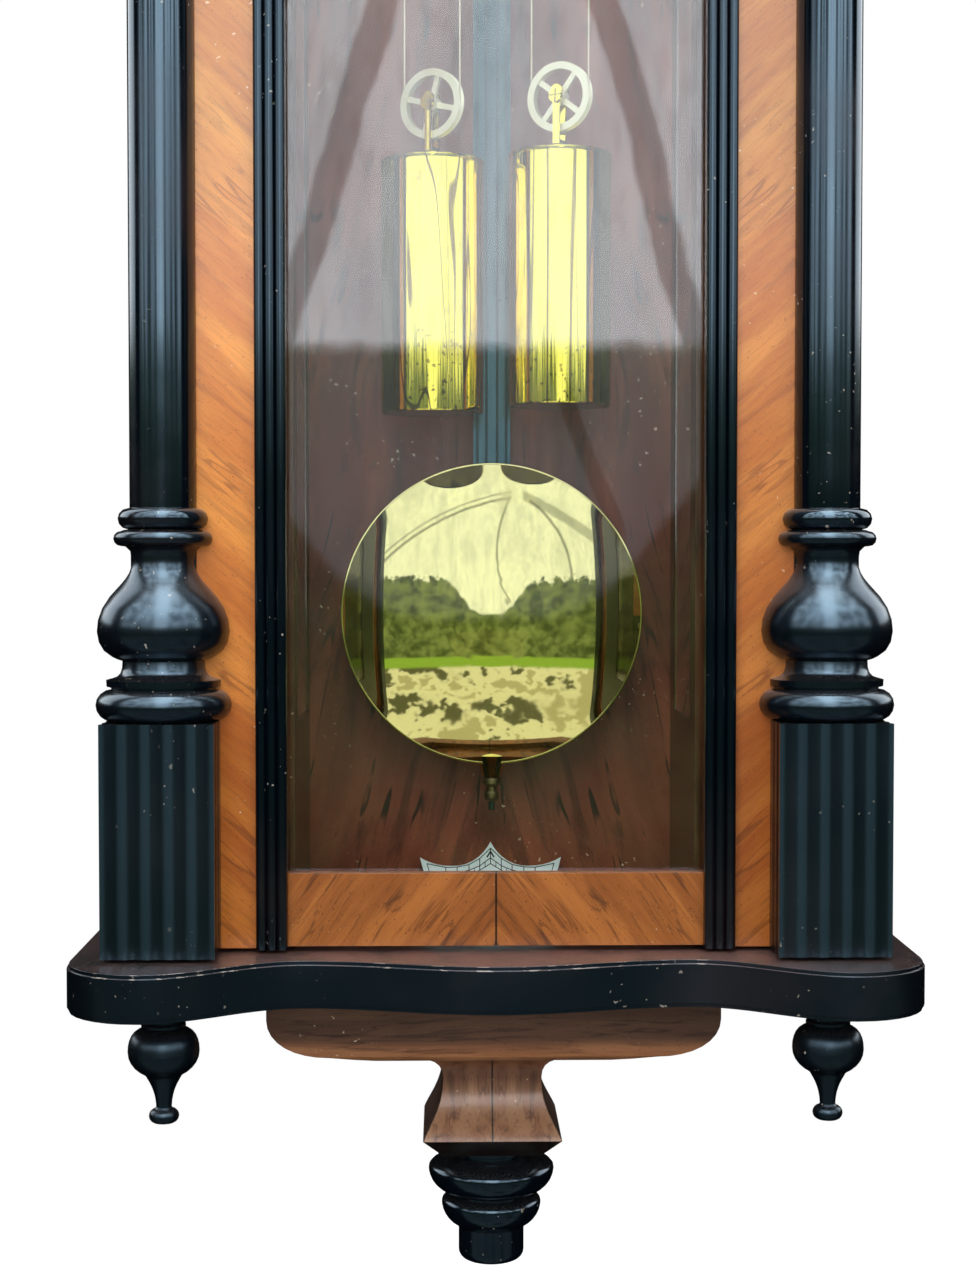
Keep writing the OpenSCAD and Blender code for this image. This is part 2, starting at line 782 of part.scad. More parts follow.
module escape_wheel() {
    color("gold") from_shelf() {
        slab(escape_y, escape_y - 1.2) translate([0, escape_h]) difference() {
            polygon(raked(30));
            crossings(escape_r - 5.4, 4, 4, 2);
        }
        pinion(0, escape_h, 8, train_m, third_y + 1, third_y - wheel_t - 1,
            aim(third_x, third_h, 0, escape_h) + 180 + 22.5);
        arbor(0, escape_h, pivot_r, back_plate_y, front_plate_y - plate_t);
        arbor(0, escape_h, 1.7, -65, -101.5);
    }
}

// Anchor: two arms that straddle the wheel, on the arbor that also carries the crutch
swing_room = 0.9;

module anchor() {
    color("silver") from_shelf() {
        slab(escape_y + 0.5, escape_y - 1.8) translate([0, escape_h]) polygon(concat(
            arc(0, 0, escape_r + swing_room, 40, 140, 14),
            arc(0, 0, escape_r + 3.4, 140, 122, 3), arc(0, 0, escape_r + 5, 112, 68, 5),
            arc(0, 0, escape_r + 3.4, 58, 40, 3)));
        slab(escape_y + 0.5, escape_y - 1.8) translate([0, hang_point_h]) circle(5.5);
        arbor(0, hang_point_h, 1.5, crutch_y + 1, front_plate_y - plate_t);
        arbor(0, hang_point_h, 2.2, -65, -101.5);
        slab(crutch_y + 1, crutch_y - 1) {
            translate([0, hang_point_h]) circle(4);
            translate([-1.5, crutch_h]) square([3, hang_point_h - crutch_h]);
            translate([0, crutch_h]) circle(3);
        }
        arbor(0, crutch_h, 1, crutch_y, rod_y - rod_t / 2 + 5);
    }
}
crutch_y = -59;
crutch_h = hang_point_h - 62;

// Pendulum

rod_y = -50;
rod_top = hang_point_h - 31;
rod_end = bob_h - 67;
bob_edge = 5;                       // thickness of the bob at its rim
bob_back = rod_y - rod_t / 2 + bob_edge - 1.6;
thread_r = 1.75;
nut_z1 = bob_h - bob_r - 8;
nut_h = 13;

module suspension_spring() {
    color("silver") from_shelf() {
        box(-4, 4, rod_y + 0.25, rod_y - 0.25, hang_point_h - 24, hang_point_h);
        box(-6, 6, rod_y + 2.5, rod_y - 2.5, rod_top, hang_point_h - 23);
    }
}

module pendulum_rod() {
    color("black") from_shelf() difference() {
        union() {
            box(-rod_w / 2, rod_w / 2, rod_y + rod_t / 2, rod_y - rod_t / 2, rod_end, rod_top);
            translate([0, rod_y, nut_z1 - nut_h - 5]) cylinder(r = thread_r,
                h = rod_end - nut_z1 + nut_h + 6);
        }
        // slot that the crutch pin drives
        box(-1.4, 1.4, rod_y + rod_t, rod_y - rod_t, crutch_h - 4, crutch_h + 4);
        // beads worked along both edges of the front
        both_sides() for (x = [3, 8]) translate([x, rod_y - rod_t / 2, rod_end - 1])
            cylinder(r = 0.7, h = rod_top - rod_end + 2);
    }
}

module bob() {
    dome = 12;
    edge = bob_edge;
    profile = concat(
        [[0, 0], [bob_r - 2, 0], [bob_r - 0.6, 0.6], [bob_r, 2], [bob_r, edge],
         [bob_r - 0.4, edge + 0.7], [bob_r - 1, edge + 0.7]],
        [for (i = [0:11]) let (r = (bob_r - 1.2) * (1 - i / 11))
            [r, edge + 0.5 + dome * (1 - pow(r / (bob_r - 1.2), 2))]]);
    color("gold") from_shelf() difference() {
        union() {
            translate([0, bob_back + 0.8, bob_h]) rotate([90, 0, 0])
                rotate_extrude($fn = 96) polygon(profile);
            // small cap under the rim, round the adjusting screw
            translate([0, rod_y, bob_h - bob_r - 7.5])
                cylinder(r1 = 5, r2 = 8.5, h = 12);
        }
        box(-rod_w / 2 - fit, rod_w / 2 + fit, rod_y + rod_t, rod_y - rod_t / 2 - fit,
            rod_end - 4, bob_h + bob_r + 1);
        translate([0, rod_y, bob_h - bob_r - 20]) cylinder(r = thread_r + run, h = 60);
    }
}

module rating_nut() {
    profile = [[thread_r + run, 0], [4.6, 0], [5.4, -1], [5.4, -3], [4.6, -4], [3.2, -5],
               [3, -7], [4.2, -8.5], [4.2, -11], [3, -nut_h], [thread_r + run, -nut_h]];
    color("gold") from_shelf() translate([0, rod_y, nut_z1]) rotate_extrude()
        polygon(profile);
}

// Door

module door_stiles() {
    color("peru") from_shelf() both_sides()
        box(stile_x0, stile_x1, door_back, door_front, door_gap, door_top);
}

rail_x = stile_x0;
glass_x = stile_x0 - 0.5;

module door_bottom_rail() {
    z1 = door_gap + 1 + rail_h;
    color("peru") from_shelf() difference() {
        box(-rail_x, rail_x, door_back, door_front, door_gap + 1, z1);
        // rebate behind for the glass
        box(-rail_x - 1, rail_x + 1, door_back + 1, glass_y, z1 - 5, z1 + 1);
        // corners cut back behind the glazing mouldings
        both_sides() box(bead_x0, rail_x + 1, door_front + 4, door_front - 1,
            door_gap, z1 + 1);
        // glue line of the two matched veneers
        translate([0, door_front, door_gap]) rotate([0, 0, 45])
            cube([0.7, 0.7, 2 * rail_h + 4], center = true);
    }
}

module door_top_rail() {
    z0 = door_top - 1 - rail_h;
    color("peru") from_shelf() difference() {
        box(-rail_x, rail_x, door_back, door_front, z0, door_top - 1);
        box(-rail_x - 1, rail_x + 1, door_back + 1, glass_y, z0 - 1, z0 + 5);
        both_sides() box(bead_x0, rail_x + 1, door_front + 4, door_front - 1,
            z0 - 1, door_top);
    }
}

// Glazing mouldings, reeded with three beads
module glazing_mouldings() {
    z = door_h;
    w = bead_w;
    color("black") from_shelf() both_sides()
        translate([bead_x0, door_front, door_gap]) linear_extrude(z) {
            translate([0, -bead_d + w / 6]) square([w, bead_d - w / 6]);
            for (i = [0:2]) translate([w / 6 + i * w / 3, -bead_d + w / 6]) circle(w / 6);
            translate([0, 0]) square([stile_x0 - bead_x0 - 0.2, 4]);
        }
}

module door_glass() {
    color("lightblue") from_shelf()
        box(-glass_x, glass_x, glass_y + pane_t + 0.3, glass_y + 0.3,
            door_gap + rail_h - 3.5, door_top - rail_h + 3.5);
}

// Square blocks with broad flutes down the front and sides
module reeded_block(z0, z1) {
    n = 5;
    pitch = pedestal_w / n;
    r = pitch * 0.9;
    sag = 1;
    difference() {
        box(-pedestal_w / 2, pedestal_w / 2, door_front, pedestal_front, z0, z1);
        for (i = [0:n - 1]) translate([(i - (n - 1) / 2) * pitch, pedestal_front - r + sag,
            z0 - 1]) cylinder(r = r, h = z1 - z0 + 2);
        both_sides() for (k = [0:1])
            translate([pedestal_w / 2 + r - sag, pedestal_front + pitch * (k + 0.6), z0 - 1])
                cylinder(r = r, h = z1 - z0 + 2);
    }
}

module pedestals() {
    color("black") from_shelf() both_sides() translate([column_x, 0, 0])
        reeded_block(door_gap, column_h);
}

module head_blocks() {
    color("black") from_shelf() both_sides() translate([column_x, 0, 0])
        reeded_block(head_z0, door_top);
}

// Turned vase at the foot of the column, heights from the pedestal's top
vase_profile = concat(
    [[0, 0]],
    arc(26.4, 8, 8, -90, 90, 8),
    [[26.6, 17], [28.8, 17.6], [29, 20.8], [26, 21.6]],
    bezier([26, 21.6], [21.8, 22.4], [20.8, 25], [20.8, 30.5], 4),
    [[23.6, 31.4], [26, 32.6]],
    bezier([26, 32.6], [35.6, 37], [36, 52], [27, 63]),
    bezier([27, 63], [20, 71], [15.9, 74], [15.9, 81]),
    [[16.6, 86], [19, 88.4]],
    arc(21.2, 92.4, 3.8, -90, 90, 6),
    [[19.6, 96.8]],
    arc(17.4, 102.4, 5.4, -88, 90, 6),
    [[0, 107.8]]);

capital_profile = concat(
    [[0, 0]],
    arc(17.2, 3.2, 3.2, -90, 90, 5),
    bezier([17.4, 7], [17.4, 14], [27, 16], [28.6, 21], 6),
    [[28.6, 22.5]],
    arc(26.6, 30, 7.4, -90, 90, 8),
    [[0, 37.4]]);

module half_turned(profile) {
    rotate([0, 0, 180]) rotate_extrude(angle = 180) polygon(profile);
}

module column() {
    z0 = shaft_z0 - 0.4;
    z1 = shaft_z1 + 0.4;
    // pilaster strip that carries the half column
    box(-pilaster_w / 2, pilaster_w / 2, door_back, door_front, door_gap, door_top);
    box(-pilaster_w / 2 + 0.5, pilaster_w / 2 - 0.5, door_front + 1,
        door_front - pilaster_out, column_h, head_z0);
    translate([0, door_front, column_h]) half_turned(vase_profile);
    translate([0, door_front, shaft_z1]) half_turned(capital_profile);
    translate([0, door_front, z0]) half_turned([[0, 0], [shaft_r, 0], [shaft_r, z1 - z0],
        [0, z1 - z0]]);
}

module column_right() { color("black") from_shelf() translate([column_x, 0, 0]) column(); }

module column_left() { color("black") from_shelf() translate([-column_x, 0, 0]) column(); }

// Hinges at the right: pin and outer knuckles on the case, middle knuckle on the door

knuckle_r = 3.2;
leaf_t = 1.5;
hinge_x = case_w / 2 + leaf_t + fit + knuckle_r;
hinge_y = case_front + 3;
hinge_hs = [140, door_h - 130];
hinge_l = 54;
pin_r = 1.5;

latch_h = 440;
latch_x = -case_w / 2 - 2;
latch_pivot_y = case_front + 28;
latch_reach = 22;

module case_brasses() {
    third = hinge_l / 3;
    color("gold") from_shelf() {
        for (h = hinge_hs) {
            box(case_w / 2, case_w / 2 + leaf_t, case_front + 26, case_front + 1,
                h - hinge_l / 2, h + hinge_l / 2);
            for (z = [h - hinge_l / 2, h + third / 2]) {
                translate([hinge_x, hinge_y, z]) cylinder(r = knuckle_r, h = third);
                box(case_w / 2 + 0.5, hinge_x, hinge_y + 2.5, hinge_y + 1, z, z + third);
            }
            translate([hinge_x, hinge_y, h - hinge_l / 2 - 1.5]) cylinder(r = pin_r,
                h = hinge_l + 3);
        }
        // screw stud of the latch hook
        translate([-case_w / 2 - 5.5, latch_pivot_y, latch_h]) rotate([0, 90, 0])
            cylinder(r = 1.5, h = 5.5);
        translate([-case_w / 2 - 6, latch_pivot_y, latch_h]) rotate([0, 90, 0])
            cylinder(r = 3.4, h = 1.2);
        translate([-case_w / 2 - 2.2, latch_pivot_y, latch_h]) rotate([0, 90, 0])
            cylinder(r = 3.4, h = 2.2);
    }
}

module door_brasses() {
    third = hinge_l / 3;
    y = latch_pivot_y - latch_reach;
    color("gold") from_shelf() {
        for (h = hinge_hs) difference() {
            union() {
                box(hinge_x + 3.6, hinge_x + 26, door_back + leaf_t, door_back,
                    h - hinge_l / 2, h + hinge_l / 2);
                translate([hinge_x, hinge_y, h - third / 2 + fit]) cylinder(r = knuckle_r,
                    h = third - 2 * fit);
                box(hinge_x, hinge_x + 5, door_back + leaf_t, door_back + 0.3,
                    h - third / 2 + fit, h + third / 2 - fit);
            }
            translate([hinge_x, hinge_y, h - hinge_l]) cylinder(r = pin_r + run,
                h = 2 * hinge_l);
        }
        // stud that the latch hook catches
        translate([latch_x - 7, y, latch_h]) rotate([0, 90, 0]) cylinder(r = 1.4, h = 7.5);
        box(latch_x - 8, latch_x - 5, y + 2, door_back, latch_h - 3, latch_h + 3);
        box(latch_x - 14, latch_x - 5, door_back + 1.2, door_back, latch_h - 9, latch_h + 9);
    }
}

// Drawn hanging down, as it rests when the door is free
module latch_hook() {
    color("gold") from_shelf() {
        difference() {
            translate([0, latch_pivot_y, latch_h]) across(latch_x - 2.6, latch_x - 0.4)
                difference() {
                    union() {
                        circle(5);
                        translate([-1.6, -27]) square([7, 27]);
                    }
                    translate([0, -latch_reach]) circle(2);
                    translate([-4, -latch_reach - 2]) square([4, 4]);
                }
            translate([latch_x - 5, latch_pivot_y, latch_h]) rotate([0, 90, 0])
                cylinder(r = 1.5 + run, h = 8);
        }
    }
}

// Weights, pulleys and lines

line_r = pulley_r - 1.4;
line_dx = line_r * cos(pulley_turn);
line_dy = line_r * sin(pulley_turn);
weight_y = -98;
line_back = weight_y + line_dy;
line_front = weight_y - line_dy;
weight_x = [-wind_x - drum_r + line_dx, wind_x - drum_r + line_dx];
anchor_xs = [for (x = weight_x) x + line_dx];
weight_z1 = pulley_h - 30;
left_low = 4;                       // the left weight hangs a little lower

// A drawing placed in the plane of a turned pulley
module pulley_frame(x) {
    translate([x, weight_y, pulley_h]) rotate([0, 0, -pulley_turn]) children();
}

module weight(x) {
    r = weight_r;
    l = weight_l;
    profile = concat(
        [[0, 0], [r - 3, 0], [r - 3, 1.5], [r - 1.2, 1.5], [r - 1.2, 0], [r - 0.4, 0],
         [r, 0.6], [r, l - 3]],
        arc(r - 0.8, l - 1.4, 1.2, -60, 150, 6),
        [[r - 2.2, l - 3], [0, l - 3]]);
    translate([x, weight_y, weight_z1 - l]) rotate_extrude($fn = 64) polygon(profile);
}

// Strap round the pulley, with its axle screw and its stud in the weight
module stirrup(x) {
    gap = 3.4;
    pulley_frame(x) {
        for (s = [-1, 1]) translate([-2, s > 0 ? gap : -gap - 1, -23.5])
            cube([4, 1, 27]);
        translate([-2, -gap - 1, -25]) cube([4, 2 * gap + 2, 2]);
        for (y = [gap, -gap - 1]) translate([0, y + 1, 3]) rotate([90, 0, 0])
            cylinder(r = 3.2, h = 1);
        translate([0, gap + 1, 0]) rotate([90, 0, 0]) cylinder(r = 2, h = 2 * gap + 2);
        translate([0, 0, -33.5]) cylinder(r = 2, h = 9);
        translate([0, 0, -28]) cylinder(r = 4, h = 2.5);
        difference() {
            translate([0, -gap - 0.5, 0]) rotate([90, 0, 0]) cylinder(r = 3.6, h = 2.4);
            translate([-5, -gap - 4, -0.4]) cube([10, 2, 0.8]);
        }
    }
}

module weight_line(i) {
    x = weight_x[i];
    drum_x = i == 0 ? -wind_x : wind_x;
    axle_h = pulley_h - (i == 0 ? left_low : 0);
    turns = 5;
    coil_n = 20;
    pitch = 1.6;
    // wound turns lie in front of the place where the line leaves the drum
    coil = [for (k = [0:turns * coil_n]) let (a = 180 + 360 * (turns * coil_n - k) / coil_n)
        [drum_x + drum_r * cos(a), line_back - pitch * (turns * coil_n - k) / coil_n,
         wind_h - drum_r * sin(a)]];
    left = [for (h = [wind_h - 40:-70:axle_h + 30]) [x - line_dx, line_back, h]];
    wrap = [for (a = [180:20:360]) [x + line_dx * cos(a), weight_y - line_dy * cos(a),
        axle_h + line_r * sin(a)]];
    right = [for (h = [axle_h + 40:70:plate_z0 - 20]) [x + line_dx, line_front, h]];
    end = [[x + line_dx, line_front, plate_z0 + 1.3]];
    color("wheat") from_shelf()
        tube(concat(coil, left, wrap, right, end), line_d / 2, 6,
            [sin(pulley_turn), cos(pulley_turn), 0.02]);
}

module weight_left() {
    color("gold") from_shelf() translate([0, 0, -left_low]) {
        weight(weight_x[0]);
        stirrup(weight_x[0]);
    }
}

module weight_right() {
    color("gold") from_shelf() {
        weight(weight_x[1]);
        stirrup(weight_x[1]);
    }
}

module pulley(x, turn) {
    r = pulley_r;
    half = 2.2;
    pulley_frame(x) rotate([90, 0, 0]) rotate(turn) difference() {
        union() {
            rotate_extrude($fn = 64) polygon([[14.6, -half], [r, -half],
                [line_r - line_d / 2 - 0.35, -0.6], [line_r - line_d / 2 - 0.35, 0.6],
                [r, half], [14.6, half]]);
            translate([0, 0, -2.6]) cylinder(r = 4.2, h = 5.2);
            for (a = [0:90:270]) rotate(a) translate([3, -1.5, -1]) cube([12.5, 3, 2]);
        }
        translate([0, 0, -5]) cylinder(r = 2 + run, h = 10);
    }
}

module pulley_left() {
    color("gold") from_shelf() translate([0, 0, -left_low]) pulley(weight_x[0], 75);
}

module pulley_right() { color("gold") from_shelf() pulley(weight_x[1], 52); }

module line_left() { weight_line(0); }

module line_right() { weight_line(1); }

// Strike side

strike_aim = aim(-wind_x, wind_h, pin_x, pin_h);

module strike_great_wheel() {
    color("gold") from_shelf() difference() {
        wheel(-wind_x, wind_h, 144, great_m, strike_y, strike_y - 2, strike_aim, 4.5, 13, 6, 4);
        hole(-wind_x, wind_h, 3 + run);
    }
}

module strike_pin_wheel() {
    color("gold") from_shelf() {
        wheel(pin_x, pin_h, 60, great_m, -88, -89.4, 180, 3.4, 3.8, 4, 2.4);
        pinion(pin_x, pin_h, 12, great_m, strike_y + 0.8, strike_y - 2.8,
            strike_aim + 180 + 15);
        arbor(pin_x, pin_h, pivot_r, back_plate_y, front_plate_y - plate_t);
        arbor(pin_x, pin_h, 1.7, -65, -101.5);
        for (a = [0:45:315]) arbor(pin_x + 13.1 * cos(a), pin_h + 13.1 * sin(a), 0.8, -86, -88.5);
    }
}

module strike_fly() {
    color("gold") from_shelf() {
        pinion(fly_x, pin_h, 8, great_m, -87, -90.4, 22.5);
        arbor(fly_x, pin_h, pivot_r, back_plate_y, front_plate_y - plate_t);
        arbor(fly_x, pin_h, 1.5, -65, -101.5);
        arbor(fly_x, pin_h, 2.6, -73, -84);
        slab(-73.5, -83.5) translate([fly_x, pin_h]) rotate(60)
            square([25, 0.8], center = true);
    }
}

// Hammer on a stud behind the back plate, resting just off the gong
module hammer() {
    x = -52;
    h = gong_h + 13;
    color("dimgray") from_shelf() {
        difference() {
            union() {
                arbor(stud_x, stud_h, 4, -52.5, -59.5);
                slab(-55, -57) polygon([[stud_x - 2, stud_h], [stud_x + 2, stud_h],
                    [x + 1.5, h + 24], [x - 1.5, h + 24]]);
            }
            arbor(stud_x, stud_h, 1.5 + run, -40, -70);
        }
        arbor(x, h + 26, 2, gong_y + 1.5, -57);
        box(x - 1.2, x + 1.2, gong_y + 1.2, gong_y - 1.2, h, h + 26);
        translate([x - 9, gong_y, h]) rotate([0, 90, 0]) cylinder(r = 5, h = 13);
        translate([x + 3, gong_y, h]) rotate([0, 90, 0]) cylinder(r = 3.5, h = 3.5);
    }
}

backboard();
hanger_plate();
case_side_left();
case_side_right();
side_glasses();
roof_board();
base_shelf();
bracket_moulding();
bracket_neck();
bottom_finial();
drop_finials();
frieze();
cornice();
crest_plinth();
crest_panel();
crest_finials();
beat_scale();
movement_bracket();
back_plate();
front_plate();
dial();
dial_bezel();
gong();
gong_stand();
case_brasses();
door_stiles();
door_bottom_rail();
door_top_rail();
glazing_mouldings();
door_glass();
pedestals();
column_left();
column_right();
head_blocks();
door_brasses();
latch_hook();
suspension_spring();
pendulum_rod();
bob();
rating_nut();
anchor();
escape_wheel();
third_wheel();
centre_wheel();
time_great_wheel();
time_drum();
minute_wheel();
hour_hand();
minute_hand();
strike_drum();
strike_great_wheel();
strike_pin_wheel();
strike_fly();
hammer();
weight_left();
weight_right();
pulley_left();
pulley_right();
line_left();
line_right();
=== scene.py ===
import math

import bmesh
import bpy
from mathutils import Matrix, Vector


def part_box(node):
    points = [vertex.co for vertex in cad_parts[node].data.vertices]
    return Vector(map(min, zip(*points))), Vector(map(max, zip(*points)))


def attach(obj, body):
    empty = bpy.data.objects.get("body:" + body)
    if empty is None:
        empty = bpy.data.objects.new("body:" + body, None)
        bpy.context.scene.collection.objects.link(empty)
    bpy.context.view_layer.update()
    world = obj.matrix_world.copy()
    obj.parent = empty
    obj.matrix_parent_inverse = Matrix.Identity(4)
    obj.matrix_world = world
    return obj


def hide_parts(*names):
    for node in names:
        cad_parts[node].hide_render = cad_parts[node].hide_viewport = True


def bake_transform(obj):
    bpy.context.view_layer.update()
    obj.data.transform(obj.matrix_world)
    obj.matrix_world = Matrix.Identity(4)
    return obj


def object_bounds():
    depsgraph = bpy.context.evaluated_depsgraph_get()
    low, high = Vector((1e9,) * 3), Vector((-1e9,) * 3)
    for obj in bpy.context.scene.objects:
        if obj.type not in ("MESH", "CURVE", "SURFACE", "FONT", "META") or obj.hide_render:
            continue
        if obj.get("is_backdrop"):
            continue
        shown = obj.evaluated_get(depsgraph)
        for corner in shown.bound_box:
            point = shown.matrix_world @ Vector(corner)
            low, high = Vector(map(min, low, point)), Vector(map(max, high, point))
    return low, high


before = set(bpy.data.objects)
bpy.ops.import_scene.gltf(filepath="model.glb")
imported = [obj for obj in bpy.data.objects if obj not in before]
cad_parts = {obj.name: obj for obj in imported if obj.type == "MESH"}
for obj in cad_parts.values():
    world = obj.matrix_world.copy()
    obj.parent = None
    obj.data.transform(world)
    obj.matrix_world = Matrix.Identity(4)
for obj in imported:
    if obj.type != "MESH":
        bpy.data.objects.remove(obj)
cad_low, cad_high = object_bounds()

# Photographer's stand: the camera is a little left of the clock and about level with the bob,
# 1.2 m from the wall, turned slightly right and down.
shelf_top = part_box("base_shelf")[1].z
camera_data = bpy.data.cameras.new("camera")
camera_data.lens = 59.06
camera_data.clip_start = 0.02
look_down, look_right = math.radians(1.99), math.radians(1.17)
camera = bpy.data.objects.new("camera", camera_data)
camera.location = (-0.026, -1.225, shelf_top + 0.197)
camera.rotation_euler = (math.pi / 2 - look_down, 0, -look_right)
bpy.context.collection.objects.link(camera)
bpy.context.scene.camera = camera
bpy.context.scene.view_settings.view_transform = "Standard"


# World: white behind the clock and in what metal and glass show, a softer grey as fill light.
def add(tree, kind, settings=(), feeds=()):
    """A node of that kind, its properties and sockets set, and its inputs linked."""
    node = tree.nodes.new("ShaderNode" + kind)
    for key, value in dict(settings).items():
        if isinstance(key, str) and hasattr(node, key):
            setattr(node, key, value)
        else:
            node.inputs[key].default_value = value
    for key, source in dict(feeds).items():
        tree.links.new(source, node.inputs[key])
    return node


def feed(tree, node, terms):
    """Links outputs and sets plain values on the node's inputs, in pairs of input and term."""
    for socket, value in terms:
        if isinstance(value, bpy.types.NodeSocket):
            tree.links.new(value, node.inputs[socket])
        else:
            node.inputs[socket].default_value = value
    return node


def reckon(tree, operation, *terms):
    """The result of one sum on outputs and numbers."""
    node = add(tree, "Math", {"operation": operation})
    return feed(tree, node, enumerate(terms)).outputs[0]


world = bpy.data.worlds.new("studio")
bpy.context.scene.world = world
world.use_nodes = True
tree = world.node_tree
path = add(tree, "LightPath")
seen = reckon(tree, "MAXIMUM", path.outputs["Is Camera Ray"], path.outputs["Is Glossy Ray"])
seen = reckon(tree, "MAXIMUM", seen, path.outputs["Is Transmission Ray"])
backdrop = tree.nodes["Background"]
backdrop.inputs["Color"].default_value = (1, 1, 1, 1)
strength = add(tree, "MapRange", {"To Min": 0.5, "To Max": 1.0}, {"Value": seen})
tree.links.new(strength.outputs[0], backdrop.inputs["Strength"])


# Lamps: one large soft key from high on the left, one weaker fill from the right. Neither
# shows in metal or glass.
def softbox(name, place, target, size, power):
    """A square lamp of that size in metres and that power in watts, aimed at the target."""
    lamp = bpy.data.lights.new(name, "AREA")
    lamp.size = size
    lamp.energy = power
    stand = bpy.data.objects.new(name, lamp)
    stand.location = place
    aim = Vector(target) - Vector(place)
    stand.rotation_euler = aim.to_track_quat("-Z", "Y").to_euler()
    stand.visible_glossy = False
    stand.visible_transmission = False
    bpy.context.collection.objects.link(stand)


softbox("key_light", (-0.8, -2.8, 0.9), (0, -0.1, -0.55), 2.8, 68)
softbox("fill_light", (1.6, -2.0, 0.1), (0, -0.1, -0.6), 1.4, 16)


# Surroundings that only polish and glass can see: a bright sky crossed by two leaning limbs and
# thin branches, a hedge under it, a strip of lawn and pale paving. It is stage, not clock.
def rest_of(tree, value):
    """1 less the value."""
    return reckon(tree, "SUBTRACT", 1.0, value)


def between(tree, factor, a, b):
    """The value that goes from a to b with the factor."""
    node = add(tree, "Mix", {"data_type": "FLOAT"})
    return feed(tree, node, ((0, factor), (2, a), (3, b))).outputs[0]


def blend_colours(tree, mode, factor, a, b):
    """Mixes two colours, by an output or a number."""
    node = add(tree, "Mix", {"data_type": "RGBA", "blend_type": mode})
    return feed(tree, node, ((0, factor), (6, a), (7, b))).outputs[2]


def ramp(tree, source, low, high):
    """0 where the source is below low, 1 above high, smooth between."""
    return add(tree, "MapRange", {"From Min": low, "From Max": high,
                                  "interpolation_type": "SMOOTHSTEP"},
               {"Value": source}).outputs[0]


def clouds(tree, place, scale, detail=2.0, stretch=(1, 1, 1), roughness=0.5):
    """Cloudy values about 0.5, drawn out along an axis where stretch is small."""
    pulled = add(tree, "VectorMath", {"operation": "MULTIPLY", 1: stretch}, {0: place})
    return add(tree, "TexNoise", {"Scale": scale, "Detail": detail, "Roughness": roughness},
               {"Vector": pulled.outputs[0]}).outputs[0]


def on_piece(tree):
    """Where on the clock a point lies, in object coordinates."""
    return add(tree, "TexCoord").outputs["Object"]


def new_finish(name):
    """A fresh material, its tree and its Principled shader."""
    finish = bpy.data.materials.new(name)
    finish.use_nodes = True
    return finish, finish.node_tree, finish.node_tree.nodes["Principled BSDF"]


garden_bm = bmesh.new()
bmesh.ops.create_uvsphere(garden_bm, u_segments=64, v_segments=48, radius=4)
garden_mesh = bpy.data.meshes.new("garden")
garden_bm.to_mesh(garden_mesh)
garden_bm.free()
garden = bpy.data.objects.new("garden", garden_mesh)
garden.location = (0, 0, shelf_top + 0.2)
bpy.context.collection.objects.link(garden)
view, tree = new_finish("garden")[:2]
tree.nodes.clear()
spot = on_piece(tree)
east, north, height = add(tree, "SeparateXYZ", (), {0: spot}).outputs
path = add(tree, "LightPath")
through_pane = reckon(tree, "GREATER_THAN", path.outputs["Transmission Depth"], 0.5)
in_polish = reckon(tree, "GREATER_THAN", path.outputs["Glossy Depth"], 0.5)
far_out = ramp(tree, reckon(tree, "ABSOLUTE", east), 0.6, 0.9)

# its sky: cloudy, with two leaning limbs and, as brass shows it, thin bent branches
cloud = clouds(tree, spot, 7.0, 3.0, (1, 1, 0.06))
sky = blend_colours(tree, "MIX", reckon(tree, "MULTIPLY", ramp(tree, cloud, 0.42, 0.66), 0.3),
                    (0.90, 0.95, 1.0, 1), (0.40, 0.44, 0.48, 1))
fine_streaks = reckon(tree, "MULTIPLY", 0.3, ramp(
    tree, clouds(tree, spot, 38.0, 2.0, (1, 1, 0.02)), 0.52, 0.62))
sky = blend_colours(tree, "MULTIPLY", fine_streaks, sky, (0.6, 0.6, 0.6, 1))
aside = reckon(tree, "ABSOLUTE", reckon(tree, "SUBTRACT", east, 0.08))
lean = reckon(tree, "MULTIPLY_ADD", height, -0.32, 0.648)
bark = reckon(tree, "MULTIPLY_ADD", clouds(tree, spot, 4.0, 3.0), 0.06, -0.03)
off_limb = reckon(tree, "ABSOLUTE", reckon(
    tree, "ADD", reckon(tree, "SUBTRACT", aside, lean), bark))
limbs = rest_of(tree, ramp(tree, off_limb, 0.026, 0.044))
limbs = reckon(tree, "MULTIPLY", limbs, rest_of(tree, through_pane))
sky = blend_colours(tree, "MIX", reckon(tree, "MULTIPLY", limbs, 0.68), sky,
                    (0.06, 0.05, 0.05, 1))
flat_spot = add(tree, "CombineXYZ", (), {"X": east, "Z": height}).outputs[0]
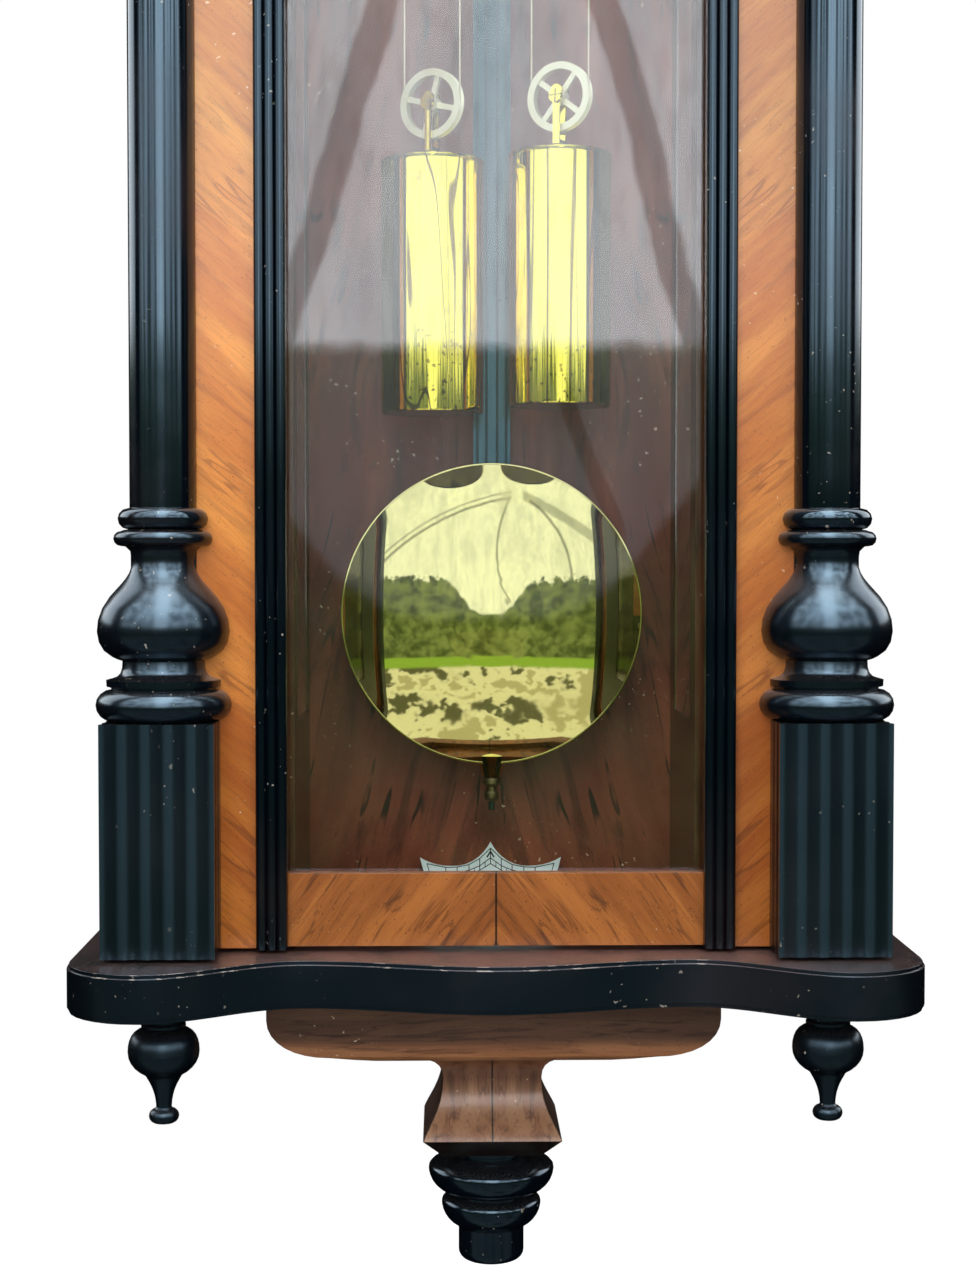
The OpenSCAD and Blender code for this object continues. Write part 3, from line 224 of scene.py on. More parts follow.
# middle of each branch's bend, its radius, half its width, how dark it is, where it starts, and
# to which side of that it grows
branches = (((0.83, 0, -1.66), 3.52, 0.014, 0.75, 0.42, -1),
            ((0.83, 0, -1.66), 3.60, 0.010, 0.6, 0.42, -1),
            ((-0.20, 0, 0.40), 1.65, 0.016, 0.7, 0.70, 1),
            ((-1.46, 0, -2.82), 5.11, 0.05, 0.5, 0.60, 1),
            ((2.05, 0, 0.95), 1.88, 0.014, 0.7, 0.40, -1))
for middle, radius, half, dark, at, side in branches:
    away = add(tree, "VectorMath", {"operation": "DISTANCE", 1: middle}, {0: flat_spot})
    off_bend = reckon(tree, "ABSOLUTE", reckon(tree, "SUBTRACT", away.outputs["Value"], radius))
    bend = rest_of(tree, ramp(tree, off_bend, half, half * 1.7))
    kept = ramp(tree, reckon(tree, "MULTIPLY", reckon(tree, "SUBTRACT", east, at), side), 0, 0.02)
    drawn = reckon(tree, "MULTIPLY", reckon(tree, "MULTIPLY", bend, kept),
                   reckon(tree, "MULTIPLY", through_pane, dark))
    sky = blend_colours(tree, "MIX", drawn, sky, (0.10, 0.11, 0.08, 1))

# its hedge, lawn and paving
leaf = clouds(tree, spot, 5.0, 5.0, (1, 1, 1), 0.65)
hedge = blend_colours(tree, "MIX", ramp(tree, leaf, 0.36, 0.66),
                      (0.045, 0.065, 0.02, 1), (0.19, 0.24, 0.09, 1))
slab = clouds(tree, spot, 1.6, 3.0, (1, 1, 1.6), 0.7)
paving = blend_colours(tree, "MIX", ramp(tree, slab, 0.42, 0.47),
                       (0.10, 0.10, 0.06, 1), (0.70, 0.68, 0.55, 1))
paving = blend_colours(tree, "MULTIPLY", ramp(tree, slab, 0.56, 0.58), paving,
                       (0.62, 0.60, 0.50, 1))
paving_end, lawn_end = -1.0, -0.84
lawn = blend_colours(tree, "MIX", ramp(tree, height, paving_end - 0.06, paving_end), paving,
                     (0.24, 0.40, 0.06, 1))
ground = blend_colours(tree, "MIX", ramp(tree, height, lawn_end - 0.04, lawn_end), lawn, hedge)
ground = blend_colours(tree, "MULTIPLY", rest_of(tree, through_pane), ground,
                       (0.62, 0.80, 1.0, 1))

# where the sky begins: a ragged line, higher at the sides as the bob and weights see it
amplitude = reckon(tree, "MULTIPLY_ADD", far_out, 0.75, 0.06)
tree_line = reckon(tree, "MULTIPLY", reckon(
    tree, "SUBTRACT", clouds(tree, spot, 6.0, 6.0, (1, 1, 1), 0.75), 0.5), amplitude)
hill = reckon(tree, "MULTIPLY_ADD",
              ramp(tree, reckon(tree, "MULTIPLY", east, -1.0), 0.1, 0.8), 0.62, -0.12)
hill = reckon(tree, "MULTIPLY_ADD", ramp(tree, east, 0.2, 0.9), 0.58, hill)
skyline = between(tree, through_pane, 0.5, hill)
above = reckon(tree, "SUBTRACT", reckon(tree, "ADD", height, tree_line), skyline)
open_sky = ramp(tree, above, -0.02, 0.03)
surroundings = blend_colours(tree, "MIX", open_sky, ground, sky)

# how bright it is: brightest straight ahead and high up, striped to the sides, with one pale
# stripe beyond each side that outlines what is round
turned_by = reckon(tree, "ABSOLUTE", reckon(
    tree, "ARCTAN2", east, reckon(tree, "MULTIPLY", north, -1.0)))
ahead = rest_of(tree, ramp(tree, turned_by, 1.2, 1.35))
stripes = ramp(tree, clouds(tree, spot, 2.4, 3.0, (1, 1, 0.03)), 0.44, 0.56)
side_power = reckon(tree, "MULTIPLY", reckon(tree, "MULTIPLY_ADD", stripes, 6.0, 1.0),
                    reckon(tree, "MULTIPLY_ADD", ramp(tree, height, 0.4, 1.3), 0.5, 0.5))
middle_power = 8.6
sky_power = between(tree, far_out, middle_power, side_power)
high = reckon(tree, "MULTIPLY_ADD", ramp(tree, height, 1.4, 3.0), 0.6, 1.0)
sky_power = reckon(tree, "MULTIPLY", sky_power, high)
near_power = reckon(tree, "MULTIPLY_ADD", ramp(tree, height, 0.1, 0.5), 2.2, 0.6)
direct_power = reckon(tree, "MULTIPLY", between(tree, open_sky, near_power, sky_power), ahead)
outline = reckon(tree, "MULTIPLY", ramp(tree, turned_by, 1.6, 1.7),
                 rest_of(tree, ramp(tree, turned_by, 2.3, 2.4)))
outline = reckon(tree, "MULTIPLY", outline, ramp(tree, height, 0.3, 0.7))
direct_power = reckon(tree, "MULTIPLY_ADD", outline, 4.0, direct_power)
pane_power = reckon(tree, "MULTIPLY_ADD", ahead, 1.4, 0.05)
power = between(tree, through_pane, direct_power, pane_power)
lit = add(tree, "Emission", (), {"Color": surroundings, "Strength": power})
plain = add(tree, "Emission", {"Color": (1, 1, 1, 1), "Strength": 1.0})
either = add(tree, "MixShader", (), {0: in_polish, 1: plain.outputs[0], 2: lit.outputs[0]})
out = tree.nodes.new("ShaderNodeOutputMaterial")
tree.links.new(either.outputs[0], out.inputs["Surface"])
garden_mesh.materials.append(view)
for ray in ("camera", "diffuse", "shadow", "volume_scatter"):
    setattr(garden, "visible_" + ray, False)
garden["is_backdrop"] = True


# Floor: pale and far below the clock. It is lifted toward white for the camera, takes the
# shadow, and isn't there from below.
floor_bm = bmesh.new()
bmesh.ops.create_grid(floor_bm, x_segments=1, y_segments=1, size=3.4)
bmesh.ops.translate(floor_bm, verts=floor_bm.verts, vec=(0, 0, cad_low.z - 0.9))
floor_mesh = bpy.data.meshes.new("floor")
floor_bm.to_mesh(floor_mesh)
floor_bm.free()
floor = bpy.data.objects.new("floor", floor_mesh)
bpy.context.collection.objects.link(floor)
floor.visible_glossy = False
floor.visible_transmission = False
pale, tree, body = new_finish("pale_floor")
body.inputs["Base Color"].default_value = (0.86, 0.86, 0.86, 1)
body.inputs["Roughness"].default_value = 0.9
lift = reckon(tree, "MULTIPLY", add(tree, "LightPath").outputs["Is Camera Ray"], 0.55)
lifted = add(tree, "Emission", {"Color": (1, 1, 1, 1)}, {"Strength": lift})
both = add(tree, "AddShader", (), {0: body.outputs[0], 1: lifted.outputs[0]})
under = add(tree, "NewGeometry")
from_below = add(tree, "BsdfTransparent")
sided = add(tree, "MixShader", (), {0: under.outputs["Backfacing"], 1: both.outputs[0],
                                    2: from_below.outputs[0]})
tree.links.new(sided.outputs[0], tree.nodes["Material Output"].inputs["Surface"])
floor_mesh.materials.append(pale)
floor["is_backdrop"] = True


# Walnut: brown veneer on pine, French polished. The figure is straight bands and streaks of
# darker wood with fine fibres and short dark pores along the grain, under a clear polish.
def tint(r, g, b):
    """A colour as it looks in daylight, 0 to 255, as scene light."""
    return tuple(pow(c / 255, 2.2) for c in (r, g, b)) + (1,)


def new_group(name, inputs, outputs):
    """A node group with its named sockets, and the two nodes it starts and ends with."""
    group = bpy.data.node_groups.new(name, "ShaderNodeTree")
    for label, kind, value in inputs:
        s = group.interface.new_socket(label, in_out="INPUT", socket_type="NodeSocket" + kind)
        if value is not None:
            s.default_value = value
    for label, kind in outputs:
        group.interface.new_socket(label, in_out="OUTPUT", socket_type="NodeSocket" + kind)
    start = group.nodes.new("NodeGroupInput")
    end = group.nodes.new("NodeGroupOutput")
    return group, start, end


wood_figure, start, end = new_group(
    "wood_figure",
    [("Place", "Vector", None), ("Light", "Color", tint(205, 135, 80)),
     ("Mid", "Color", tint(175, 100, 52)), ("Dark", "Color", tint(95, 50, 28)),
     ("Bands", "Float", 60.0), ("Streaks", "Float", 0.5), ("Pores", "Float", 0.6),
     ("Wave", "Float", 0.02), ("Veins", "Float", 0.5)],
    [("Colour", "Color"), ("Pore", "Float")])
t = wood_figure
warp = add(t, "TexNoise", {"Scale": 6.0, "Detail": 1.0}, {"Vector": start.outputs["Place"]})
warp_centred = add(t, "VectorMath", {"operation": "SUBTRACT", 1: (0.5, 0.5, 0.5)},
                   {0: warp.outputs["Color"]})
warp_small = add(t, "VectorMath", {"operation": "SCALE"},
                 {0: warp_centred.outputs[0], "Scale": start.outputs["Wave"]})
warped = add(t, "VectorMath", {"operation": "ADD"},
             {0: start.outputs["Place"], 1: warp_small.outputs[0]}).outputs[0]
along = add(t, "VectorMath", {"operation": "MULTIPLY", 1: (1.0, 1.0, 0.09)}, {0: warped})
figure = add(t, "TexNoise", {"Detail": 3.0, "Roughness": 0.6},
             {"Vector": along.outputs[0], "Scale": start.outputs["Bands"]})
streak = add(t, "TexNoise", {"Detail": 3.0, "Roughness": 0.6},
             {"Vector": along.outputs[0],
              "Scale": reckon(t, "MULTIPLY", start.outputs["Bands"], 4.2)})
fibre = clouds(t, warped, 1500.0, 2.0, (1, 1, 0.05))
pore = clouds(t, warped, 1300.0, 1.0, (1, 1, 0.5))
colour = blend_colours(t, "MIX", ramp(t, figure.outputs[0], 0.36, 0.64),
                       start.outputs["Mid"], start.outputs["Light"])
mottle = reckon(t, "MULTIPLY", ramp(t, clouds(t, warped, 22.0, 4.0), 0.48, 0.7), 0.5)
colour = blend_colours(t, "MIX", mottle, colour, start.outputs["Mid"])
streaky = reckon(t, "MULTIPLY", ramp(t, streak.outputs[0], 0.52, 0.68),
                 start.outputs["Streaks"])
colour = blend_colours(t, "MIX", streaky, colour, start.outputs["Dark"])
off_vein = reckon(t, "PINGPONG", reckon(t, "MULTIPLY", figure.outputs[0], 6.0), 0.5)
vein = rest_of(t, ramp(t, off_vein, 0.02, 0.07))
vein = reckon(t, "MULTIPLY", vein, ramp(t, clouds(t, warped, 30.0), 0.45, 0.6))
veined = reckon(t, "MULTIPLY", vein, start.outputs["Veins"])
colour = blend_colours(t, "MIX", veined, colour, start.outputs["Dark"])
pore_mask = ramp(t, pore, 0.68, 0.74)
porous = reckon(t, "MULTIPLY", pore_mask, start.outputs["Pores"])
colour = blend_colours(t, "MIX", porous, colour, start.outputs["Dark"])
fibrous = reckon(t, "MULTIPLY", ramp(t, fibre, 0.4, 0.7), 0.3)
colour = blend_colours(t, "MULTIPLY", fibrous, colour, (0.55, 0.45, 0.4, 1))
t.links.new(colour, end.inputs["Colour"])
t.links.new(pore_mask, end.inputs["Pore"])


# Age: the same on every wooden piece, small chips down to the pale ground, and dust that lies
# on what faces up.
def facing_of(tree):
    """The way the surface faces, as its three parts."""
    return add(tree, "SeparateXYZ", (), {0: add(tree, "NewGeometry").outputs["Normal"]}).outputs


wear, start, end = new_group(
    "wear", [("Place", "Vector", None), ("Chips", "Float", 0.5), ("Dust", "Float", 0.3)],
    [("Chip", "Float"), ("Dust", "Float")])
t = wear
speck = ramp(t, clouds(t, start.outputs["Place"], 330.0, 2.0), 0.70, 0.73)
patch = ramp(t, clouds(t, start.outputs["Place"], 14.0), 0.5, 0.62)
chips = reckon(t, "MULTIPLY", reckon(t, "MULTIPLY", speck, patch), start.outputs["Chips"])
grit = ramp(t, clouds(t, start.outputs["Place"], 1100.0, 1.0), 0.35, 0.75)
lies = reckon(t, "MULTIPLY", ramp(t, facing_of(t)["Z"], 0.3, 0.95), start.outputs["Dust"])
t.links.new(chips, end.inputs["Chip"])
t.links.new(reckon(t, "MULTIPLY", lies, grit), end.inputs["Dust"])


def age(tree, colour, chips, dust, ground, grey):
    """Lays chips in the colour of the ground, and dust, over a colour."""
    aged = add(tree, "Group", {"node_tree": wear, "Chips": chips, "Dust": dust},
               {"Place": on_piece(tree)})
    colour = blend_colours(tree, "MIX", aged.outputs["Chip"], colour, ground)
    return blend_colours(tree, "MIX", aged.outputs["Dust"], colour, grey)


def laid_grain(tree, mirrored, turn, shift):
    """Object coordinates with the grain turned to lie as it does on this piece. A matched
    pair of veneers is mirrored about the middle of the clock."""
    source = on_piece(tree)
    if mirrored:
        parts = add(tree, "SeparateXYZ", (), {0: source})
        folded = reckon(tree, "ABSOLUTE", parts.outputs["X"])
        source = add(tree, "CombineXYZ", (), {"X": folded, "Y": parts.outputs["Y"],
                                              "Z": parts.outputs["Z"]}).outputs[0]
    turned = tuple(math.radians(a) for a in turn)
    return add(tree, "Mapping", {"Rotation": turned, "Location": shift},
               {"Vector": source}).outputs[0]


def walnut(name, light, mid, dark, turn=(0, 0, 0), bands=60.0, streaks=0.5, pores=0.6,
           wave=0.02, veins=0.5, mirrored=False, rough=0.32, polish=0.5, shift=(0, 0, 0),
           dust=0.0, stains_and_painted_shade=(), joint=False, chips=0.7):
    """Each darkening given is a colour, and the direction and the two places that it comes in
    between; some are the wood's own stains, some are painted shade.
    Its direction is X, Y, Z, or Side for what faces sideways. A joint is the dark line between
    two matched veneers."""
    finish, tree, body = new_finish(name)
    figured = add(tree, "Group",
                  {"node_tree": wood_figure, "Light": light, "Mid": mid, "Dark": dark,
                   "Bands": bands, "Streaks": streaks, "Pores": pores, "Wave": wave,
                   "Veins": veins},
                  {"Place": laid_grain(tree, mirrored, turn, shift)})
    colour = figured.outputs["Colour"]
    spot = add(tree, "SeparateXYZ", (), {0: on_piece(tree)})
    for darkening, direction, clear, full in stains_and_painted_shade:
        if direction == "Side":
            at = reckon(tree, "ABSOLUTE", facing_of(tree)["X"])
        else:
            at = spot.outputs[direction]
        colour = blend_colours(tree, "MULTIPLY", ramp(tree, at, clear, full), colour,
                               (*darkening, 1))
    if joint:
        off_joint = reckon(tree, "ABSOLUTE", spot.outputs["X"])
        line = rest_of(tree, ramp(tree, off_joint, 0.0003, 0.0007))
        colour = blend_colours(tree, "MIX", line, colour, tint(34, 20, 15))
    colour = age(tree, colour, chips, dust, tint(225, 205, 170), tint(150, 140, 130))
    tree.links.new(colour, body.inputs["Base Color"])
    rougher = add(tree, "MapRange", {"To Min": rough, "To Max": rough + 0.25},
                  {"Value": figured.outputs["Pore"]})
    tree.links.new(rougher.outputs[0], body.inputs["Roughness"])
    body.inputs["Specular IOR Level"].default_value = 0.3
    body.inputs["Coat Weight"].default_value = polish
    body.inputs["Coat Roughness"].default_value = 0.2
    sunk = reckon(tree, "MULTIPLY", figured.outputs["Pore"], -1.0)
    bump = add(tree, "Bump", {"Strength": 0.12, "Distance": 0.0003}, {"Height": sunk})
    tree.links.new(bump.outputs[0], body.inputs["Normal"])
    return finish


def dress(name, material, edge=0.0006, faces_over=32):
    """Gives a CAD piece its finish. Sawn pieces get their edges eased as with sandpaper. On
    turned and cast ones, with no edge given, only edges over that many degrees stay sharp."""
    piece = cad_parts[name]
    piece.data.materials.clear()
    piece.data.materials.append(material)
    piece.data.polygons.foreach_set("use_smooth", [True] * len(piece.data.polygons))
    weld = piece.modifiers.new("weld", "WELD")
    weld.merge_threshold = 0.00002
    if edge:
        ease = piece.modifiers.new("edges", "BEVEL")
        ease.width = edge
        ease.segments = 2
        ease.limit_method = "ANGLE"
        ease.angle_limit = math.radians(faces_over)
    else:
        split = piece.modifiers.new("edges", "EDGE_SPLIT")
        split.split_angle = math.radians(faces_over)
    rounding = piece.modifiers.new("rounding", "WEIGHTED_NORMAL")
    rounding.mode = "FACE_AREA" if edge else "FACE_AREA_WITH_ANGLE"
    rounding.weight = 100 if edge else 50
    rounding.keep_sharp = not edge


# Case: a veneered backboard, dark red-brown with tall leaning figure, two sides with windows
# whose inner faces are painted darker as shade, and the roof board. On it stand the walnut frieze
# and crest panel.
backboard_wood = walnut("backboard_wood", tint(146, 80, 54), tint(106, 52, 37), tint(40, 20, 17),
                        bands=24.0, streaks=0.5, veins=1.0, pores=0.5, wave=0.06, rough=0.42,
                        polish=0.4, turn=(0, 12, 0), mirrored=True, shift=(0.4, 0, 0.2))
dress("backboard", backboard_wood, 0.0008)
inner_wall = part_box("case_side_right")[0].x + 0.001
inner_shade = (0.25, 0.28, 0.30)
side_wood = walnut("side_wood", tint(150, 88, 48), tint(118, 66, 36), tint(60, 33, 20),
                   bands=34.0, streaks=0.6, shift=(0.3, 0.1, 0), chips=0.3,
                   # painted shade: the sides' inner faces are darkened
                   stains_and_painted_shade=((inner_shade, "X", inner_wall - 0.0005, inner_wall - 0.001),
                           (inner_shade, "X", 0.0005 - inner_wall, 0.001 - inner_wall)))
for name in ("case_side_left", "case_side_right", "roof_board"):
    dress(name, side_wood, 0.0008)
frieze_wood = walnut("frieze_wood", tint(196, 122, 64), tint(160, 92, 46), tint(84, 45, 25),
                     turn=(0, 78, 0), bands=40.0, mirrored=True, joint=True)
dress("frieze", frieze_wood, 0.0008)
crest_wood = walnut("crest_wood", tint(190, 116, 62), tint(150, 84, 42), tint(80, 42, 24),
                    turn=(0, 25, 0), mirrored=True, bands=44.0, joint=True)
dress("crest_panel", crest_wood, 0.0012)


# Cornice, crest plinth and the three crest finials: ebonised pear wood, stained bluish black
# and polished. The stain is rubbed brown in places, and chipped through to the pale ground.
def ebony(name, rough=0.09, rubbed_rough=0.3, worn=0.25, chips=0.5, dust=0.1, gloss=0.65,
          black=(12, 18, 24), brown=(58, 38, 31), brushing=0.12, top=None, edge_chips=0.0,
          soft_below=None, density=1.5, blue=(0.58, 0.82, 1.0), flutes_from=None):
    """top is the colour of what faces up in the middle of the clock. Edge chips lie where an
    eased edge turns. Below the height soft_below the polish is duller. The flutes' ridges get a
    paler bluish black as a painted highlight, and their bottoms stay dark as painted shade;
    flutes_from is the front face they are cut in."""
    finish, tree, body = new_finish(name)
    place = on_piece(tree)
    spot = add(tree, "SeparateXYZ", (), {0: place})
    rubbed = clouds(tree, place, 9.0, 4.0)
    rub = reckon(tree, "MULTIPLY", ramp(tree, rubbed, 0.52, 0.75), worn)
    colour = blend_colours(tree, "MIX", rub, tint(*black), tint(*brown))
    if top:
        mottled = ramp(tree, clouds(tree, place, 45.0, 5.0, (1, 1, 1), 0.7), 0.25, 0.6)
        upward = reckon(tree, "MULTIPLY", ramp(tree, facing_of(tree)["Z"], 0.55, 0.95), mottled)
        outer = ramp(tree, reckon(tree, "ABSOLUTE", spot.outputs["X"]), 0.11, 0.17)
        upward = reckon(tree, "MULTIPLY", upward, between(tree, outer, 1.0, 0.3))
        colour = blend_colours(tree, "MIX", upward, colour, tint(*top))
    if flutes_from is not None:
        # painted highlight on the flutes' ridges, painted shade in their bottoms
        flute_depth = 0.0009
        sunk = ramp(tree, spot.outputs["Y"], flutes_from, flutes_from + flute_depth)
        colour = blend_colours(tree, "MIX", sunk, tint(31, 43, 49), colour)
    if edge_chips:
        upright = facing_of(tree)["Z"]
        turning = reckon(tree, "MULTIPLY", ramp(tree, upright, 0.15, 0.4),
                         rest_of(tree, ramp(tree, upright, 0.93, 0.99)))
        flakes = ramp(tree, clouds(tree, place, 150.0, 4.0, (1, 1, 1), 0.6), 0.54, 0.58)
        struck = ramp(tree, clouds(tree, place, 16.0, 2.0), 0.50, 0.58)
        chipped = reckon(tree, "MULTIPLY", reckon(tree, "MULTIPLY", turning, flakes),
                         reckon(tree, "MULTIPLY", struck, edge_chips))
        colour = blend_colours(tree, "MIX", chipped, colour, tint(216, 206, 196))
    colour = age(tree, colour, chips, dust, tint(205, 195, 180), tint(150, 145, 140))
    tree.links.new(colour, body.inputs["Base Color"])
    dulling = ramp(tree, rubbed, 0.4, 0.85)
    if soft_below:
        lower = ramp(tree, spot.outputs["Z"], soft_below + 0.002, soft_below - 0.002)
        dulling = reckon(tree, "MAXIMUM", dulling, reckon(tree, "MULTIPLY", lower, 0.7))
    rougher = add(tree, "MapRange", {"To Min": rough, "To Max": rubbed_rough},
                  {"Value": dulling})
    tree.links.new(rougher.outputs[0], body.inputs["Roughness"])
    body.inputs["Specular IOR Level"].default_value = gloss
    body.inputs["Specular Tint"].default_value = (*blue, 1)
    body.inputs["IOR"].default_value = density
    bump = add(tree, "Bump", {"Strength": brushing, "Distance": 0.0002},
               {"Height": clouds(tree, place, 260.0, 3.0, (1, 1, 0.012))})
    tree.links.new(bump.outputs[0], body.inputs["Normal"])
    return finish


turned_black = ebony("turned_black", rough=0.16)
flat_black = ebony("flat_black", rough=0.14, worn=0.3, chips=0.45, gloss=0.35, brushing=0.03)
for name in ("cornice", "crest_plinth"):
    dress(name, flat_black)
dress("crest_finials", turned_black, 0)


# Base shelf: one ebonised board with a swelling front, its top rubbed brown and dusty and its
# edge chipped. Under it hang two turned drops.
shelf_black = ebony("shelf_black", rough=0.26, rubbed_rough=0.4, worn=0.15, chips=0.3,
                    dust=0.3, gloss=0.4, brushing=0.0, top=(112, 76, 68), edge_chips=0.8)
dress("base_shelf", shelf_black, 0.0012, 50)
dull_black = ebony("dull_black", rough=0.3, rubbed_rough=0.4, worn=0.1, gloss=0.5, brushing=0.0)
dress("drop_finials", dull_black, 0)


# Bracket under the shelf: a rounded walnut moulding, painted darker toward its top as shade under
# the shelf, and a neck with a coved top and chamfered corners that ends in a flat black pyramid,
# and a turned black pendant. The neck's coved top is darker, partly in its own colour and partly
# as painted shade under the moulding, and the neck is darker where it faces sideways.
neck_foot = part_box("bracket_neck")[0].z
bracket_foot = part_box("bracket_moulding")[0].z
bracket_wood = walnut("bracket_wood", tint(160, 108, 70), tint(132, 84, 54), tint(66, 40, 28),
                      turn=(0, 90, 0), bands=60.0, rough=0.36, polish=0.35,
                      # painted shade under the shelf: the moulding is darker toward its top
                      stains_and_painted_shade=(((0.36, 0.36, 0.42), "Z", bracket_foot + 0.008,
                               bracket_foot + 0.016),))
dress("bracket_moulding", bracket_wood, 0.0006, 40)
neck_wood = walnut("neck_wood", tint(156, 116, 86), tint(124, 84, 60), tint(66, 40, 28),
                   bands=50.0, rough=0.36, polish=0.35, mirrored=True, joint=True,
                   stains_and_painted_shade=(((0.035, 0.04, 0.05), "Z", neck_foot + 0.0116, neck_foot + 0.0106),
                           # the coved top darker, partly its own colour and partly painted shade
                           # under the moulding
                           ((0.55, 0.46, 0.42), "Z", neck_foot + 0.032, neck_foot + 0.045),
                           # darker where the neck faces sideways, on its chamfers
                           ((0.30, 0.26, 0.26), "Side", 0.3, 0.5)))
dress("bracket_neck", neck_wood, 0.0005, 40)
dress("bottom_finial", turned_black, 0)


# Door: walnut stiles with the veneer laid slanting, matched left and right, rails of two
# matched veneers, black reeded mouldings beside the glass, and fluted black blocks glued on
# over and under the columns.
stile_wood = walnut("stile_wood", tint(224, 144, 62), tint(192, 110, 40), tint(122, 66, 28),
                    turn=(0, -48, 0), mirrored=True, bands=44.0, streaks=0.3, pores=0.7,
                    rough=0.34, polish=0.5,
                    # darker towards the bottom
                    stains_and_painted_shade=(((0.80, 0.64, 0.42), "Z", shelf_top + 0.27, shelf_top + 0.03),
                            # painted shade toward the top, dimming the red
                            ((0.82, 0.92, 0.92), "Z", shelf_top + 0.33, shelf_top + 0.43),
                            # painted shade: the right stile is darker, as if lit from the left
                            ((0.80, 0.78, 0.92), "X", -0.02, 0.02)))
dress("door_stiles", stile_wood, 0.0006)
rail_wood = walnut("rail_wood", tint(172, 104, 46), tint(140, 80, 32), tint(72, 38, 18),
                   turn=(0, 38, 0), mirrored=True, bands=70.0, streaks=0.7, pores=0.8,
                   rough=0.36, polish=0.35, joint=True)
for name in ("door_bottom_rail", "door_top_rail"):
    dress(name, rail_wood, 0.0004)
bead_black = ebony("bead_black", rough=0.12, worn=0.2, chips=0.5, gloss=0.5, brushing=0.06)
dress("glazing_mouldings", bead_black, 0, 40)
block_black = ebony("block_black", rough=0.2, worn=0.1, chips=0.35, gloss=0.6, brushing=0.02,
                    flutes_from=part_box("pedestals")[0][1])
for name in ("pedestals", "head_blocks"):
    dress(name, block_black, 0, 25)


# Columns: turned pear wood, split lengthwise and glued to black pilaster strips on the door.
# Their vases and rings, under vase_top, have lost some of the polish.
vase_top = shelf_top + 0.222
column_black = ebony("column_black", rubbed_rough=0.28, soft_below=vase_top)
for name in ("column_left", "column_right"):
    dress(name, column_black, 0, 40)


# Glass: old drawn panes, a little uneven, one in the door and one in each side window. They
# let the lamps' light straight through.
window_glass, tree, pane = new_finish("window_glass")
pane.inputs["Base Color"].default_value = (0.96, 0.985, 0.975, 1)
pane.inputs["Roughness"].default_value = 0.0
pane.inputs["IOR"].default_value = 1.47
pane.inputs["Transmission Weight"].default_value = 1.0
drawn = clouds(tree, on_piece(tree), 9.0, 1.0, (1, 1, 0.5))
uneven = add(tree, "Bump", {"Strength": 0.05, "Distance": 0.001}, {"Height": drawn})
tree.links.new(uneven.outputs[0], pane.inputs["Normal"])
clear = add(tree, "BsdfTransparent", {"Color": (0.95, 0.97, 0.96, 1)})
passing = add(tree, "LightPath")
lets_light = reckon(tree, "MAXIMUM", passing.outputs["Is Shadow Ray"],
                    passing.outputs["Is Diffuse Ray"])
either = add(tree, "MixShader", (), {0: lets_light, 1: pane.outputs[0], 2: clear.outputs[0]})
tree.links.new(either.outputs[0], tree.nodes["Material Output"].inputs["Surface"])
for name in ("door_glass", "side_glasses"):
    dress(name, window_glass, 0)


# Weights: rolled brass shells filled with lead, hanging on wheels with four spokes. The left
# one is dented, so what it mirrors is wavy. The brass is polished and lightly tarnished.
def brass(name, colour=(0.86, 0.78, 0.36), dull=(0.45, 0.36, 0.15), rough=0.1, tarnish=0.35,
          stretch=(1, 1, 0.05), dents=0.0, hairlines=None, bare=1.0, shaded_underside=False):
    """Hairlines are dark lines down a rolled shell: how far they run straight, and how dark.
    bare is how much of the metal shows through its dull skin."""
    finish, tree, body = new_finish(name)
    place = on_piece(tree)
    stained = reckon(tree, "MULTIPLY", tarnish, ramp(
        tree, clouds(tree, place, 32.0, 5.0, (1, 1, 1), 0.65), 0.5, 0.72))
    mixed = blend_colours(tree, "MIX", stained, (*colour, 1), (*dull, 1))
    if hairlines:
        run, darkness = hairlines
        lines = reckon(tree, "PINGPONG", reckon(
            tree, "MULTIPLY", clouds(tree, place, 48.0, 1.0, (1, 1, run)), 7.0), 0.5)
        lines = rest_of(tree, ramp(tree, lines, 0.015, 0.06))
        spots = ramp(tree, clouds(tree, place, 420.0, 2.0), 0.62, 0.66)
        low = ramp(tree, add(tree, "SeparateXYZ", (), {0: place}).outputs["Z"],
                   shelf_top + 0.335, shelf_top + 0.285)
        spots = reckon(tree, "MULTIPLY", spots, reckon(tree, "MULTIPLY_ADD", low, 0.7, 0.2))
        marked = reckon(tree, "MULTIPLY", reckon(tree, "MAXIMUM", lines, spots), darkness)
        mixed = blend_colours(tree, "MIX", marked, mixed, (0.22, 0.15, 0.04, 1))
    # painted shade: the brass is darker where it faces down
    if shaded_underside:
        mixed = blend_colours(tree, "MIX", ramp(tree, facing_of(tree)["Z"], -0.6, -0.9), mixed,
                              (0.10, 0.09, 0.06, 1))
    tree.links.new(mixed, body.inputs["Base Color"])
    body.inputs["Metallic"].default_value = bare
    rougher = add(tree, "MapRange", {"To Min": rough, "To Max": rough + 0.22},
                  {"Value": stained})
    tree.links.new(rougher.outputs[0], body.inputs["Roughness"])
    bump = add(tree, "Bump", {"Strength": 0.05, "Distance": 0.0001},
               {"Height": clouds(tree, place, 260.0, 4.0, stretch)})
    normal = bump.outputs[0]
    if dents:
        wavy = clouds(tree, place, 42.0, 2.0, (1, 1, 0.16))
        deeper = add(tree, "Bump", {"Strength": dents, "Distance": 0.001},
                     {"Height": wavy, "Normal": normal})
        normal = deeper.outputs[0]
    tree.links.new(normal, body.inputs["Normal"])
    return finish


